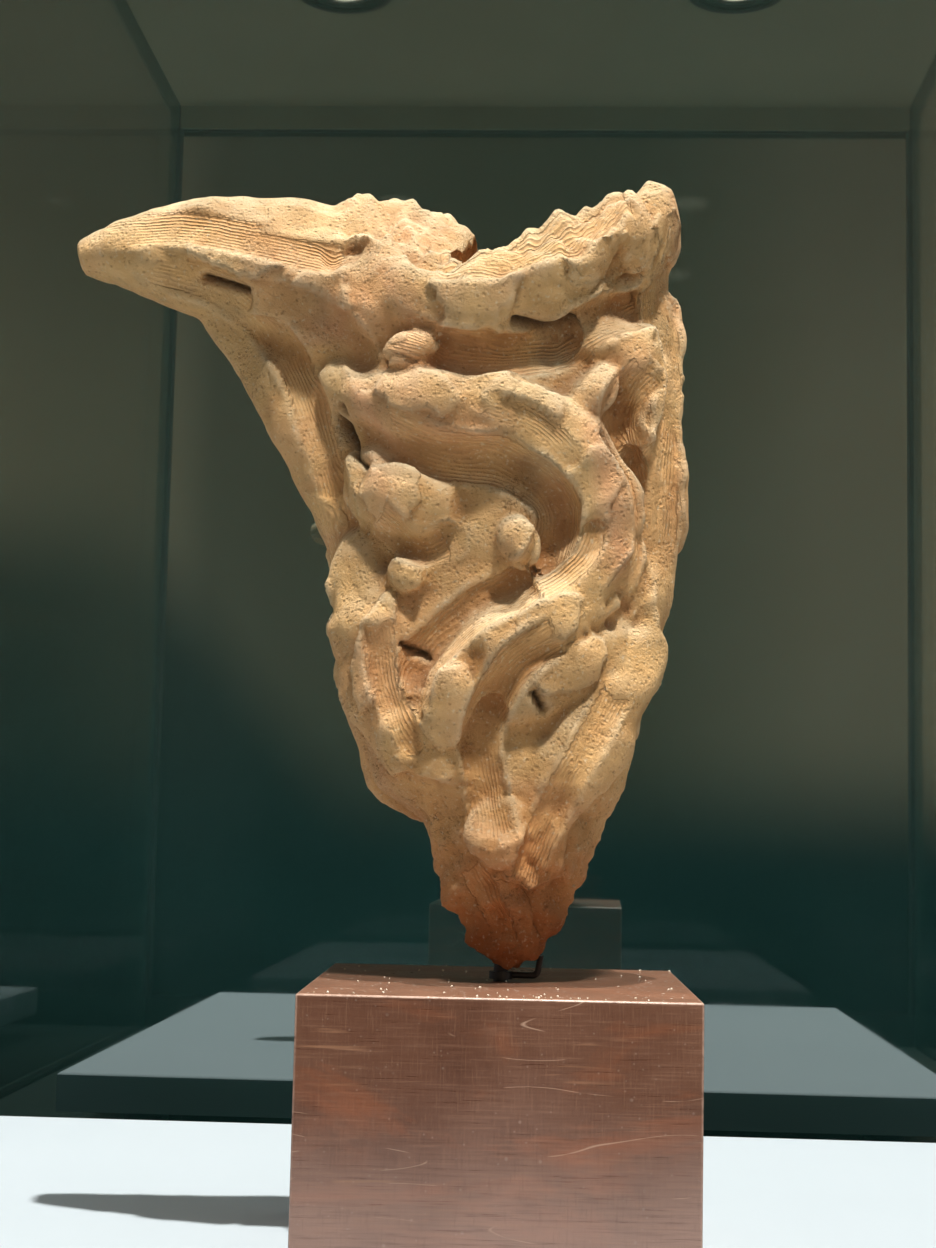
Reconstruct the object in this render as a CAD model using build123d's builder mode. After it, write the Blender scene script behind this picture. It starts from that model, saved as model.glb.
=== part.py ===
"""Wall mounted museum showcase, built from its separate pieces.

The frame has +Z up and +Y into the wall.  The origin is the centre of the four
wall bolts, on the face of the wall, so the case reaches out along -Y.
All lengths are in millimetres.
"""
from build123d import *
import os

os.makedirs("parts", exist_ok=True)

# ---- Display chamber -------------------------------------------------------
chamber_width = 780.0
chamber_depth = 780.0
deck_to_ceiling = 932.0
recess_drop = 45.0
side_glass_thickness = 11.0
door_glass_thickness = 11.0
back_glass_thickness = 8.0
glass_arris = 1.0

# ---- Housings --------------------------------------------------------------
base_height = 200.0
canopy_height = 120.0
ceiling_reveal = 5.0
housing_sheet = 3.0
housing_overhang = 6.0
front_flange_width = 18.0
bottom_flange_width = 20.0
cover_sheet = 2.0
cover_clearance = 0.5
pivot_block_height = 15.0
pivot_block_length = 20.0

# ---- Wall fixing -----------------------------------------------------------
wall_gap = 40.0
back_sheet_thickness = 3.0
wall_rail_setback = 47.0
wall_rail_sheet = 6.0
wall_rail_web = 70.0
bolt_from_rail_end = 60.0
bolt_inset = 75.0
bolt_hole_radius = 6.5
hook_setback = 10.0
hook_drop_from_top = 4.0
lip_height = 25.0
lip_setback = 24.0
hook_leg_setback = 12.0
hook_flange_height = 70.0
lower_flange_height = 35.0
rail_screw_from_bolt = 50.0
rail_screw_radius = 4.0
rail_screw_head_radius = 7.0
rail_screw_head_height = 6.0
screw_clearance = 0.5

# ---- Glazing ---------------------------------------------------------------
glass_engagement = 20.0
channel_sheet = 2.0
channel_bedding = 1.0
setting_block_height = 3.0
setting_block_length = 80.0
setting_block_inset = 120.0
edge_gap = 1.0
tape_thickness = 2.0
tape_width = 30.0
tape_count = 4

# ---- Door ------------------------------------------------------------------
door_gap = 2.0
door_seal_space = 5.0
door_rail_height = 30.0
door_rail_web = 15.0
door_rail_thickness = 16.0
rail_slot_clearance = 0.5
pivot_inset = 6.0
pivot_radius = 3.0
pivot_fit = 0.05
bush_radius = 4.5
bush_flange_radius = 5.5
bush_length = 12.0
part_gap = 0.3
seal_lip_width = 4.0
seal_lip_depth = 8.0
seal_strip_width = 25.0

# ---- Locks -----------------------------------------------------------------
lock_inset = 50.0
lock_drop = 30.0
lock_face_radius = 12.0
lock_face_height = 1.5
lock_barrel_radius = 9.5
lock_plug_radius = 6.0
lock_plug_stand = 0.8
cam_width = 12.0
cam_thickness = 3.0
cam_hub_radius = 8.0
cam_engagement = 9.0
cam_depth = 10.0
cam_slot_clearance = 2.0
pocket_depth = 12.0
key_slot_width = 1.5
key_slot_length = 7.0
key_slot_depth = 6.0

# ---- Floor and deck --------------------------------------------------------
floor_sheet = 3.0
upstand_sheet = 2.0
upstand_height = 30.0
air_slot_width = 8.0
air_slot_length = 80.0
air_slot_columns = 7
air_slot_rows = 3
air_slot_pitch_x = 50.0
air_slot_pitch_y = 120.0
deck_size = 600.0
deck_thickness = 25.0
deck_arris = 1.0
foot_radius = 15.0
foot_inset = 50.0

# ---- Base structure and climate drawer -------------------------------------
arm_width = 40.0
arm_height = 60.0
arm_wall = 3.0
cheek_sheet = 2.0
drawer_side_space = 110.0
drawer_depth = 590.0
drawer_wall = 1.5
drawer_height = 88.0
drawer_bottom_clearance = 25.0
drawer_front_height = 99.0
drawer_front_drop = 5.0
drawer_front_margin = 10.0
drawer_opening_gap = 2.0
runner_thickness = 13.0
runner_height = 35.0
runner_sheet = 2.0
runner_overlap = 4.0
runner_front_gap = 2.0
runner_length = 580.0
cassette_gap = 10.0
cassette_height = 55.0
cassette_hole_radius = 5.0
cassette_hole_depth = 2.0
cassette_hole_pitch = 32.0
drawer_lock_drop = 20.0
drawer_cam_reach = 33.0
cover_screw_radius = 2.5
cover_screw_head_radius = 4.5
cover_screw_head_height = 1.5
cover_screw_length = 8.0
cover_screw_slot = 1.0

# ---- Canopy ----------------------------------------------------------------
ceiling_sheet = 3.0
downstand_height = 25.0
ceiling_flange_height = 32.0
beam_width = 30.0
beam_wall = 2.0
beam_inset = 100.0
lid_sheet = 2.0
lid_return_height = 18.0
lid_return_setback = 4.0
rear_strip_depth = 37.0
hinge_inset = 140.0
knuckle_length = 20.0
knuckle_radius = 3.5
hinge_pin_radius = 1.5
leaf_thickness = 1.5
leaf_width = 25.0
driver_length = 180.0
driver_width = 60.0
driver_height = 35.0
driver_from_back = 40.0
gland_inset = 12.0
gland_drop = 55.0
gland_thread_radius = 10.0
gland_nut_radius = 13.0
gland_bore_radius = 5.0
gland_nut_length = 12.0
gland_locknut_length = 6.0

# ---- Spotlights ------------------------------------------------------------
spot_x = 180.0
spot_front = 100.0
spot_rear = 200.0
ring_flange_radius = 45.0
ring_flange_height = 3.0
ring_bore_radius = 38.0
ring_wall = 2.0
ring_height = 30.0
yoke_fit = 0.08
yoke_wall = 4.0
yoke_collar_height = 2.7
tilt_height = 10.0
head_radius = 27.0
head_below = 14.0
head_shoulder = 6.0
head_top_radius = 14.0
head_above = 32.0
lens_recess_radius = 22.0
lens_recess_depth = 4.0
trunnion_radius = 2.5

# ---- Display block, pin and clay fragment ----------------------------------
block_size = 150.0
block_height = 106.0
block_offset = 6.0
block_turn = 1.3
block_arris = 1.0
felt_thickness = 1.0
felt_radius = 8.0
felt_inset = 15.0
pin_radius = 3.0
pin_in_block = 30.0
pin_in_fragment = 45.0
pin_clearance = 0.05
fragment_lift = 5.0
fragment_height = 345.0
fragment_tip_radius = 9.0
shoulder_radius = 84.0
shoulder_depth = 50.0
stub_reach = 185.0
stub_end_radius = 17.0
stub_root_radius = 36.0
cavity_depth = 120.0
cavity_shift = 10.0
claw_collar_radius = 4.8
claw_collar_height = 3.0
claw_collar_lift = 1.0
claw_wire_radius = 1.3
claw_reach = 16.0
claw_height = 8.0

# ---- Places worked out from the sizes above --------------------------------
inner_x = chamber_width / 2
outer_glass_x = inner_x + side_glass_thickness
housing_inner_x = outer_glass_x + channel_bedding + channel_sheet
housing_outer_x = housing_inner_x + housing_sheet
floor_x = inner_x - edge_gap
lock_x = inner_x - lock_inset
gland_x = inner_x - gland_inset
hinge_x = inner_x - hinge_inset
beam_x = inner_x - beam_inset
wall_rail_length = 2 * (housing_outer_x - wall_rail_setback)
hook_length = wall_rail_length - 2 * hook_setback
bolt_spacing = wall_rail_length - 2 * bolt_from_rail_end
rail_screw_spacing = bolt_spacing - 2 * rail_screw_from_bolt

sheet_rear_y = -wall_gap
sheet_front_y = sheet_rear_y - back_sheet_thickness
back_glass_rear_y = sheet_front_y - tape_thickness
chamber_back_y = back_glass_rear_y - back_glass_thickness
door_inner_y = chamber_back_y - chamber_depth
door_outer_y = door_inner_y - door_glass_thickness
front_y = door_outer_y - housing_overhang
fascia_inner_y = front_y + housing_sheet
side_glass_front_y = door_inner_y + door_seal_space
centre_y = chamber_back_y - chamber_depth / 2
rail_outer_y = (door_inner_y + door_outer_y - door_rail_thickness) / 2
rail_inner_y = rail_outer_y + door_rail_thickness
flange_inner_y = fascia_inner_y + front_flange_width

case_height = base_height + recess_drop + deck_to_ceiling + ceiling_reveal + canopy_height
case_bottom = -case_height / 2
case_top = case_height / 2
base_top = case_bottom + base_height
deck_top = base_top + recess_drop
ceiling_z = deck_top + deck_to_ceiling
canopy_bottom = ceiling_z + ceiling_reveal
canopy_wall_top = case_top - lid_sheet - part_gap
side_glass_bottom = base_top - glass_engagement
side_glass_top = canopy_bottom + glass_engagement

door_bottom = base_top + door_gap
door_top = canopy_bottom - door_gap
lower_rail_top = door_bottom + door_rail_height
upper_rail_bottom = door_top - door_rail_height

pivot_x = -outer_glass_x + pivot_inset
pivot_y = rail_outer_y + bush_flange_radius
lower_lock_z = base_top - lock_drop
upper_lock_z = canopy_bottom + lock_drop
cam_front_y = front_y + cam_depth - cam_thickness / 2
cam_reach = lock_drop + door_gap + cam_engagement

arm_top = base_top - floor_sheet
arm_bottom = arm_top - arm_height
drawer_width = chamber_width - 2 * drawer_side_space
cheek_x = drawer_width / 2 + runner_thickness
arm_x = cheek_x + cheek_sheet / 2
flange_z = case_bottom + cover_sheet
drawer_bottom = flange_z + drawer_bottom_clearance
drawer_top = drawer_bottom + drawer_height
front_panel_bottom = drawer_bottom - drawer_front_drop
front_panel_top = front_panel_bottom + drawer_front_height
front_panel_x = drawer_width / 2 + drawer_front_margin
drawer_lock_z = front_panel_top - drawer_lock_drop
runner_bottom = drawer_bottom + (drawer_height - runner_height) / 2
runner_front_y = fascia_inner_y + runner_front_gap
runner_rear_y = runner_front_y + runner_length

lid_hinge_y = sheet_front_y - rear_strip_depth - part_gap
lid_hinge_z = case_top + knuckle_radius + part_gap
tilt_z = ceiling_z + tilt_height
spot_places = [
    (side * spot_x, centre_y + row)
    for row in (-spot_front, spot_rear)
    for side in (-1, 1)
]

block_bottom = deck_top + felt_thickness
block_top = block_bottom + block_height
fragment_bottom = block_top + fragment_lift
fragment_top = fragment_bottom + fragment_height


def span_box(x, y, z, mode=Mode.ADD):
    """Add the box that reaches between the two ends of each span."""
    middle = [(low + high) / 2 for low, high in (x, y, z)]
    sides = [abs(high - low) for low, high in (x, y, z)]
    with Locations(tuple(middle)):
        Box(*sides, mode=mode)


def cut_box(x, y, z):
    """Cut the box that reaches between the two ends of each span."""
    span_box(x, y, z, Mode.SUBTRACT)


def rod(centre, radius, length, axis="Z", mode=Mode.ADD):
    """Add a cylinder about its centre, along one of the frame's axes."""
    turn = {"X": (0, 90, 0), "Y": (90, 0, 0), "Z": (0, 0, 0)}[axis]
    with Locations(Location(centre, turn)):
        Cylinder(radius, length, mode=mode)


def drill(centre, radius, length, axis="Z"):
    """Cut a round hole about its centre, along one of the frame's axes."""
    rod(centre, radius, length, axis, Mode.SUBTRACT)


def save(piece, name):
    """Label a finished piece and write its file."""
    piece.part.label = name
    export_step(piece.part, f"parts/{name}.step")


# ---- Wall fixing -----------------------------------------------------------
def wall_rails():
    """The two rails that are bolted to the wall before the case is hung."""
    lip_top = case_top - hook_drop_from_top - wall_rail_sheet
    ledge_top = lip_top - lip_height
    bolt_z = case_top - bolt_inset
    half = wall_rail_length / 2
    web_bottom = bolt_z - wall_rail_web / 2
    with BuildPart() as upper:
        span_box((-half, half), (-wall_rail_sheet, 0), (web_bottom, ledge_top))
        span_box(
            (-half, half),
            (-lip_setback - wall_rail_sheet, 0),
            (ledge_top - wall_rail_sheet, ledge_top),
        )
        span_box(
            (-half, half),
            (-lip_setback - wall_rail_sheet, -lip_setback),
            (ledge_top - wall_rail_sheet, lip_top),
        )
        for side in (-1, 1):
            drill((side * bolt_spacing / 2, 0, bolt_z), bolt_hole_radius, 3 * wall_rail_sheet, "Y")
    save(upper, "wall_rail_top")

    web_top = -bolt_z + wall_rail_web / 2
    screw_z = web_top + lower_flange_height / 2
    with BuildPart() as lower:
        span_box((-half, half), (-wall_rail_sheet, 0), (-bolt_z - wall_rail_web / 2, web_top))
        span_box((-half, half), (sheet_rear_y, 0), (web_top - wall_rail_sheet, web_top))
        span_box(
            (-half, half),
            (sheet_rear_y, sheet_rear_y + wall_rail_sheet),
            (web_top, web_top + lower_flange_height),
        )
        for side in (-1, 1):
            drill((side * bolt_spacing / 2, 0, -bolt_z), bolt_hole_radius, 3 * wall_rail_sheet, "Y")
            drill(
                (side * rail_screw_spacing / 2, sheet_rear_y, screw_z),
                rail_screw_radius + pin_clearance,
                3 * wall_rail_sheet,
                "Y",
            )
    save(lower, "wall_rail_bottom")

    with BuildPart() as screws:
        for side in (-1, 1):
            x = side * rail_screw_spacing / 2
            head_y = sheet_front_y - rail_screw_head_height / 2
            shank = back_sheet_thickness + wall_rail_sheet
            with BuildSketch(Plane.XZ.offset(-(sheet_front_y - rail_screw_head_height))):
                with Locations((x, screw_z)):
                    RegularPolygon(rail_screw_head_radius, 6)
            extrude(amount=-rail_screw_head_height)
            rod(
                (x, head_y + (rail_screw_head_height + shank) / 2, screw_z),
                rail_screw_radius,
                shank,
                "Y",
            )
    save(screws, "rail_screws")
    return screw_z


def hanging_hook():
    """The hook along the top of the case's back, which drops over the wall rail."""
    half = hook_length / 2
    top = case_top - hook_drop_from_top
    leg_bottom = top - wall_rail_sheet - lip_height + wall_rail_sheet / 2
    with BuildPart() as hook:
        span_box(
            (-half, half),
            (sheet_rear_y, sheet_rear_y + wall_rail_sheet),
            (top - hook_flange_height, top),
        )
        span_box((-half, half), (sheet_rear_y, -hook_leg_setback), (top - wall_rail_sheet, top))
        span_box(
            (-half, half),
            (-hook_leg_setback - wall_rail_sheet, -hook_leg_setback),
            (leg_bottom, top),
        )
    save(hook, "hanging_hook")


def back_sheet(screw_z):
    """The steel back of the case, with its screw holes and the cable gland."""
    gland_z = case_top - gland_drop
    with BuildPart() as sheet:
        span_box(
            (-housing_outer_x, housing_outer_x),
            (sheet_front_y, sheet_rear_y),
            (case_bottom, canopy_wall_top),
        )
        for side in (-1, 1):
            drill(
                (side * rail_screw_spacing / 2, sheet_rear_y, screw_z),
                rail_screw_radius + screw_clearance,
                3 * back_sheet_thickness,
                "Y",
            )
        drill((gland_x, sheet_rear_y, gland_z), gland_thread_radius + pin_clearance, wall_gap, "Y")
    save(sheet, "back_sheet")

    with BuildPart() as gland:
        rod(
            (gland_x, sheet_rear_y + gland_nut_length / 2, gland_z),
            gland_nut_radius,
            gland_nut_length,
            "Y",
        )
        rod(
            (gland_x, (sheet_rear_y + sheet_front_y) / 2, gland_z),
            gland_thread_radius,
            back_sheet_thickness,
            "Y",
        )
        rod(
            (gland_x, sheet_front_y - gland_locknut_length / 2, gland_z),
            gland_nut_radius,
            gland_locknut_length,
            "Y",
        )
        drill((gland_x, sheet_rear_y, gland_z), gland_bore_radius, 2 * wall_gap, "Y")
        rim = gland.edges().filter_by(GeomType.CIRCLE).group_by(Axis.Y)[-1]
        chamfer(rim.sort_by(SortBy.RADIUS)[-1], channel_sheet)
    save(gland, "cable_gland")


# ---- Glass -----------------------------------------------------------------
def glass_panels():
    """The back, side and door panes."""
    with BuildPart() as back:
        span_box(
            (-floor_x, floor_x),
            (chamber_back_y, back_glass_rear_y),
            (base_top - floor_sheet + edge_gap, ceiling_z + ceiling_sheet - edge_gap),
        )
        chamfer(back.edges().filter_by(Axis.Z), glass_arris)
    save(back, "back_glass")

    with BuildPart() as tape:
        pitch = (chamber_width - 4 * tape_width) / (tape_count - 1)
        for index in range(tape_count):
            x = (index - (tape_count - 1) / 2) * pitch
            span_box(
                (x - tape_width / 2, x + tape_width / 2),
                (back_glass_rear_y, sheet_front_y),
                (deck_top, ceiling_z - recess_drop),
            )
    save(tape, "back_glass_tape")

    for side, name in ((-1, "side_glass_left"), (1, "side_glass_right")):
        with BuildPart() as pane:
            span_box(
                (side * inner_x, side * outer_glass_x),
                (side_glass_front_y, back_glass_rear_y),
                (side_glass_bottom, side_glass_top),
            )
            chamfer(pane.edges().filter_by(Axis.Z), glass_arris)
        save(pane, name)

    with BuildPart() as door:
        span_box(
            (-outer_glass_x, outer_glass_x),
            (door_outer_y, door_inner_y),
            (door_bottom + door_rail_web, door_top - door_rail_web),
        )
        chamfer(door.edges().filter_by(Axis.Z), glass_arris)
    save(door, "door_glass")


def glazing_channels():
    """The channels that hold the side panes' lower edges, and their blocks."""
    floor_z = side_glass_bottom - setting_block_height
    inner_leg_x = inner_x - channel_bedding - channel_sheet
    with BuildPart() as channels:
        for side in (-1, 1):
            span_box(
                (side * inner_leg_x, side * housing_inner_x),
                (side_glass_front_y - edge_gap, sheet_front_y),
                (floor_z - channel_sheet, arm_top),
            )
            cut_box(
                (side * (inner_leg_x + channel_sheet), side * (housing_inner_x - channel_sheet)),
                (side_glass_front_y - 2 * edge_gap, sheet_front_y),
                (floor_z, arm_top),
            )
    save(channels, "glazing_channels")

    with BuildPart() as blocks:
        for side in (-1, 1):
            for y in (side_glass_front_y + setting_block_inset, back_glass_rear_y - setting_block_inset):
                span_box(
                    (side * inner_x, side * outer_glass_x),
                    (y - setting_block_length / 2, y + setting_block_length / 2),
                    (floor_z, side_glass_bottom),
                )
    save(blocks, "setting_blocks")


# ---- Base ------------------------------------------------------------------
def cam_slot(z_low, z_high, front_gap=0.0):
    """Cut the slot that a turning cam sweeps through, between two heights."""
    near = cam_front_y - cam_slot_clearance + front_gap
    far = cam_front_y + cam_thickness + cam_slot_clearance
    left = lock_x - cam_width / 2 - cam_slot_clearance
    cut_box((left, lock_x + cam_reach), (near, far), (z_low, z_high))


def base_housing():
    """The sheet steel body under the chamber, open at the top."""
    outer = (-housing_outer_x, housing_outer_x)
    inner = (-housing_inner_x, housing_inner_x)
    with BuildPart() as base:
        span_box(outer, (front_y, sheet_front_y), (case_bottom, base_top))
        cut_box(inner, (fascia_inner_y, sheet_front_y), (case_bottom, base_top - housing_sheet))
        cut_box(inner, (flange_inner_y, sheet_front_y), (case_bottom, base_top))
        rim = (flange_z, flange_z + housing_sheet)
        width = bottom_flange_width
        span_box(inner, (fascia_inner_y, fascia_inner_y + width), rim)
        span_box(inner, (sheet_front_y - width, sheet_front_y), rim)
        for side in (-1, 1):
            edge = side * (housing_inner_x - width)
            span_box((edge, side * housing_inner_x), (fascia_inner_y, sheet_front_y), rim)
        opening_x = front_panel_x + drawer_opening_gap
        cut_box(
            (-opening_x, opening_x),
            (front_y - housing_sheet, fascia_inner_y),
            (front_panel_bottom - drawer_opening_gap, front_panel_top + drawer_opening_gap),
        )
        block_x = (-housing_inner_x, -housing_inner_x + pivot_block_length)
        block_top_z = base_top - housing_sheet
        span_box(
            block_x,
            (fascia_inner_y, flange_inner_y),
            (block_top_z - pivot_block_height, block_top_z),
        )
        drill((pivot_x, pivot_y, base_top), pivot_radius, 2 * (housing_sheet + pivot_block_height))
        drill((lock_x, front_y, lower_lock_z), lock_barrel_radius + pin_clearance, 4 * housing_sheet, "Y")
        cam_slot(base_top - housing_sheet, base_top)
        for place in cover_screw_places():
            drill((*place, flange_z), cover_screw_radius + pin_clearance, 4 * housing_sheet)
    save(base, "base_housing")


def cover_screw_places():
    """The places of the screws that hold the bottom cover, as (x, y)."""
    edge_x = housing_inner_x - bottom_flange_width / 2
    rows = (fascia_inner_y + bottom_flange_width / 2, centre_y, sheet_front_y - bottom_flange_width / 2)
    return [(side * edge_x, y) for side in (-1, 1) for y in rows]


def base_cover():
    """The bottom cover, held up against the base's inner flange by screws."""
    cover_x = housing_inner_x - cover_clearance
    with BuildPart() as cover:
        span_box(
            (-cover_x, cover_x),
            (fascia_inner_y + cover_clearance, sheet_front_y - cover_clearance),
            (case_bottom, flange_z),
        )
        for place in cover_screw_places():
            drill((*place, case_bottom), cover_screw_radius + screw_clearance, 4 * cover_sheet)
    save(cover, "base_cover")

    with BuildPart() as screws:
        for place in cover_screw_places():
            rod(
                (*place, case_bottom - cover_screw_head_height / 2),
                cover_screw_head_radius,
                cover_screw_head_height,
            )
            rod((*place, case_bottom + cover_screw_length / 2), cover_screw_radius, cover_screw_length)
            cut_box(
                (place[0] - cover_screw_head_radius, place[0] + cover_screw_head_radius),
                (place[1] - cover_screw_slot / 2, place[1] + cover_screw_slot / 2),
                (case_bottom - cover_screw_head_height, case_bottom - cover_screw_head_height / 2),
            )
    save(screws, "cover_screws")


def base_structure():
    """The two arms that carry the case, and the plates beside the drawer."""
    with BuildPart() as arms:
        for side in (-1, 1):
            near, far = side * (arm_x - arm_width / 2), side * (arm_x + arm_width / 2)
            span_box((near, far), (fascia_inner_y, sheet_front_y), (arm_bottom, arm_top))
            wall = side * arm_wall
            cut_box(
                (near + wall, far - wall),
                (fascia_inner_y, sheet_front_y),
                (arm_bottom + arm_wall, arm_top - arm_wall),
            )
    save(arms, "support_arms")

    with BuildPart() as cheeks:
        for side in (-1, 1):
            span_box(
                (side * cheek_x, side * (cheek_x + cheek_sheet)),
                (fascia_inner_y, sheet_front_y),
                (flange_z + housing_sheet, arm_bottom),
            )
    save(cheeks, "drawer_cheeks")


def recess_floor():
    """The dark floor of the chamber, with its front upstand and air slots."""
    with BuildPart() as floor:
        span_box(
            (-floor_x, floor_x),
            (side_glass_front_y, chamber_back_y - edge_gap),
            (arm_top, base_top),
        )
        span_box(
            (-floor_x, floor_x),
            (side_glass_front_y, side_glass_front_y + upstand_sheet),
            (arm_top, base_top + upstand_height),
        )
        with Locations((0, centre_y, base_top - floor_sheet / 2)):
            with GridLocations(air_slot_pitch_x, air_slot_pitch_y, air_slot_columns, air_slot_rows):
                Box(air_slot_width, air_slot_length, 2 * floor_sheet, mode=Mode.SUBTRACT)
    save(floor, "recess_floor")


def deck():
    """The raised white deck and the four feet that it stands on."""
    half = deck_size / 2
    with BuildPart() as board:
        span_box((-half, half), (centre_y - half, centre_y + half), (deck_top - deck_thickness, deck_top))
        chamfer(board.edges().group_by(Axis.Z)[-1], deck_arris)
    save(board, "deck_board")

    reach = deck_size - 2 * foot_inset
    foot_height = recess_drop - deck_thickness
    with BuildPart() as feet:
        with Locations((0, centre_y, base_top + foot_height / 2)):
            with GridLocations(reach, reach, 2, 2):
                Cylinder(foot_radius, foot_height)
    save(feet, "deck_feet")


# ---- Door ------------------------------------------------------------------
def door_rail(name, low, high, outward):
    """One clamp rail; outward is -1 for the lower rail and 1 for the upper."""
    edge = low if outward < 0 else high
    web_edge = edge - outward * door_rail_web
    with BuildPart() as rail:
        span_box((-outer_glass_x, outer_glass_x), (rail_outer_y, rail_inner_y), (low, high))
        cut_box(
            (-outer_glass_x, outer_glass_x),
            (door_outer_y - rail_slot_clearance, door_inner_y + rail_slot_clearance),
            (web_edge, edge - outward * door_rail_height),
        )
        cam_slot(edge - outward * pocket_depth, edge)
        drill((pivot_x, pivot_y, edge), bush_radius, 2 * bush_length)
    save(rail, name)


def pivots():
    """The fixed pivot pins and the flanged bushes in the door rails."""
    with BuildPart() as pins:
        for edge, out in ((door_bottom, -1), (door_top, 1)):
            start = edge + out * (door_gap + housing_sheet + pivot_block_height)
            end = edge - out * (bush_length - part_gap)
            rod((pivot_x, pivot_y, (start + end) / 2), pivot_radius, abs(start - end))
    save(pins, "pivot_pins")

    with BuildPart() as bushes:
        for edge, out in ((door_bottom, -1), (door_top, 1)):
            lip = door_gap - part_gap
            rod((pivot_x, pivot_y, edge - out * bush_length / 2), bush_radius, bush_length)
            rod((pivot_x, pivot_y, edge + out * lip / 2), bush_flange_radius - pivot_fit, lip)
            drill((pivot_x, pivot_y, edge), pivot_radius + pivot_fit, 3 * bush_length)
    save(bushes, "pivot_bushes")


def door_gasket():
    """The seal lips on the side panes and the strips behind the door rails."""
    lip_low = lower_rail_top + rail_slot_clearance
    lip_high = upper_rail_bottom - rail_slot_clearance
    strip_front_y = rail_inner_y + part_gap
    with BuildPart() as gasket:
        for side in (-1, 1):
            root_y = side_glass_front_y + upstand_sheet
            span_box(
                (side * (inner_x - seal_lip_width), side * inner_x),
                (root_y, root_y + seal_lip_depth),
                (lip_low, lip_high),
            )
            span_box(
                (side * (inner_x - seal_lip_width), side * floor_x),
                (door_inner_y + part_gap, root_y),
                (lip_low, lip_high),
            )
        for edge, out in ((base_top + upstand_height, -1), (ceiling_z - downstand_height, 1)):
            span_box(
                (-floor_x, floor_x),
                (strip_front_y, side_glass_front_y),
                (edge, edge + out * seal_strip_width),
            )
    save(gasket, "door_gasket")


# ---- Locks -----------------------------------------------------------------
def lock_barrel(x, z):
    """Add one lock barrel with its round face to the part being built."""
    barrel_rear = cam_front_y - part_gap
    rod((x, front_y - lock_face_height / 2, z), lock_face_radius, lock_face_height, "Y")
    rod((x, (front_y + barrel_rear) / 2, z), lock_barrel_radius, barrel_rear - front_y, "Y")
    drill((x, front_y, z), lock_plug_radius + pivot_fit, 4 * cam_depth, "Y")


def lock_plug(x, z, reach, name):
    """Make one turning plug with its key slot and the cam on its tail."""
    face_y = front_y - lock_face_height - lock_plug_stand
    with BuildPart() as plug:
        rod((x, (face_y + cam_front_y) / 2, z), lock_plug_radius, cam_front_y - face_y, "Y")
        cut_box(
            (x - key_slot_length / 2, x + key_slot_length / 2),
            (face_y, face_y + key_slot_depth),
            (z - key_slot_width / 2, z + key_slot_width / 2),
        )
        rod((x, cam_front_y + cam_thickness / 2, z), cam_hub_radius, cam_thickness, "Y")
        span_box(
            (x, x + reach),
            (cam_front_y, cam_front_y + cam_thickness),
            (z - cam_width / 2, z + cam_width / 2),
        )
        far_edges = plug.edges().filter_by(Axis.Y).group_by(Axis.X)[-1]
        fillet(far_edges, cam_width / 4)
    save(plug, name)


def locks():
    """The two door locks in the housings and the drawer's own lock."""
    with BuildPart() as barrels:
        lock_barrel(lock_x, lower_lock_z)
        lock_barrel(lock_x, upper_lock_z)
    save(barrels, "door_lock_barrels")
    lock_plug(lock_x, lower_lock_z, cam_reach, "door_lock_plug_bottom")
    lock_plug(lock_x, upper_lock_z, cam_reach, "door_lock_plug_top")
    with BuildPart() as drawer_barrel:
        lock_barrel(0, drawer_lock_z)
    save(drawer_barrel, "drawer_lock_barrel")
    lock_plug(0, drawer_lock_z, drawer_cam_reach, "drawer_lock_plug")


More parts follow.
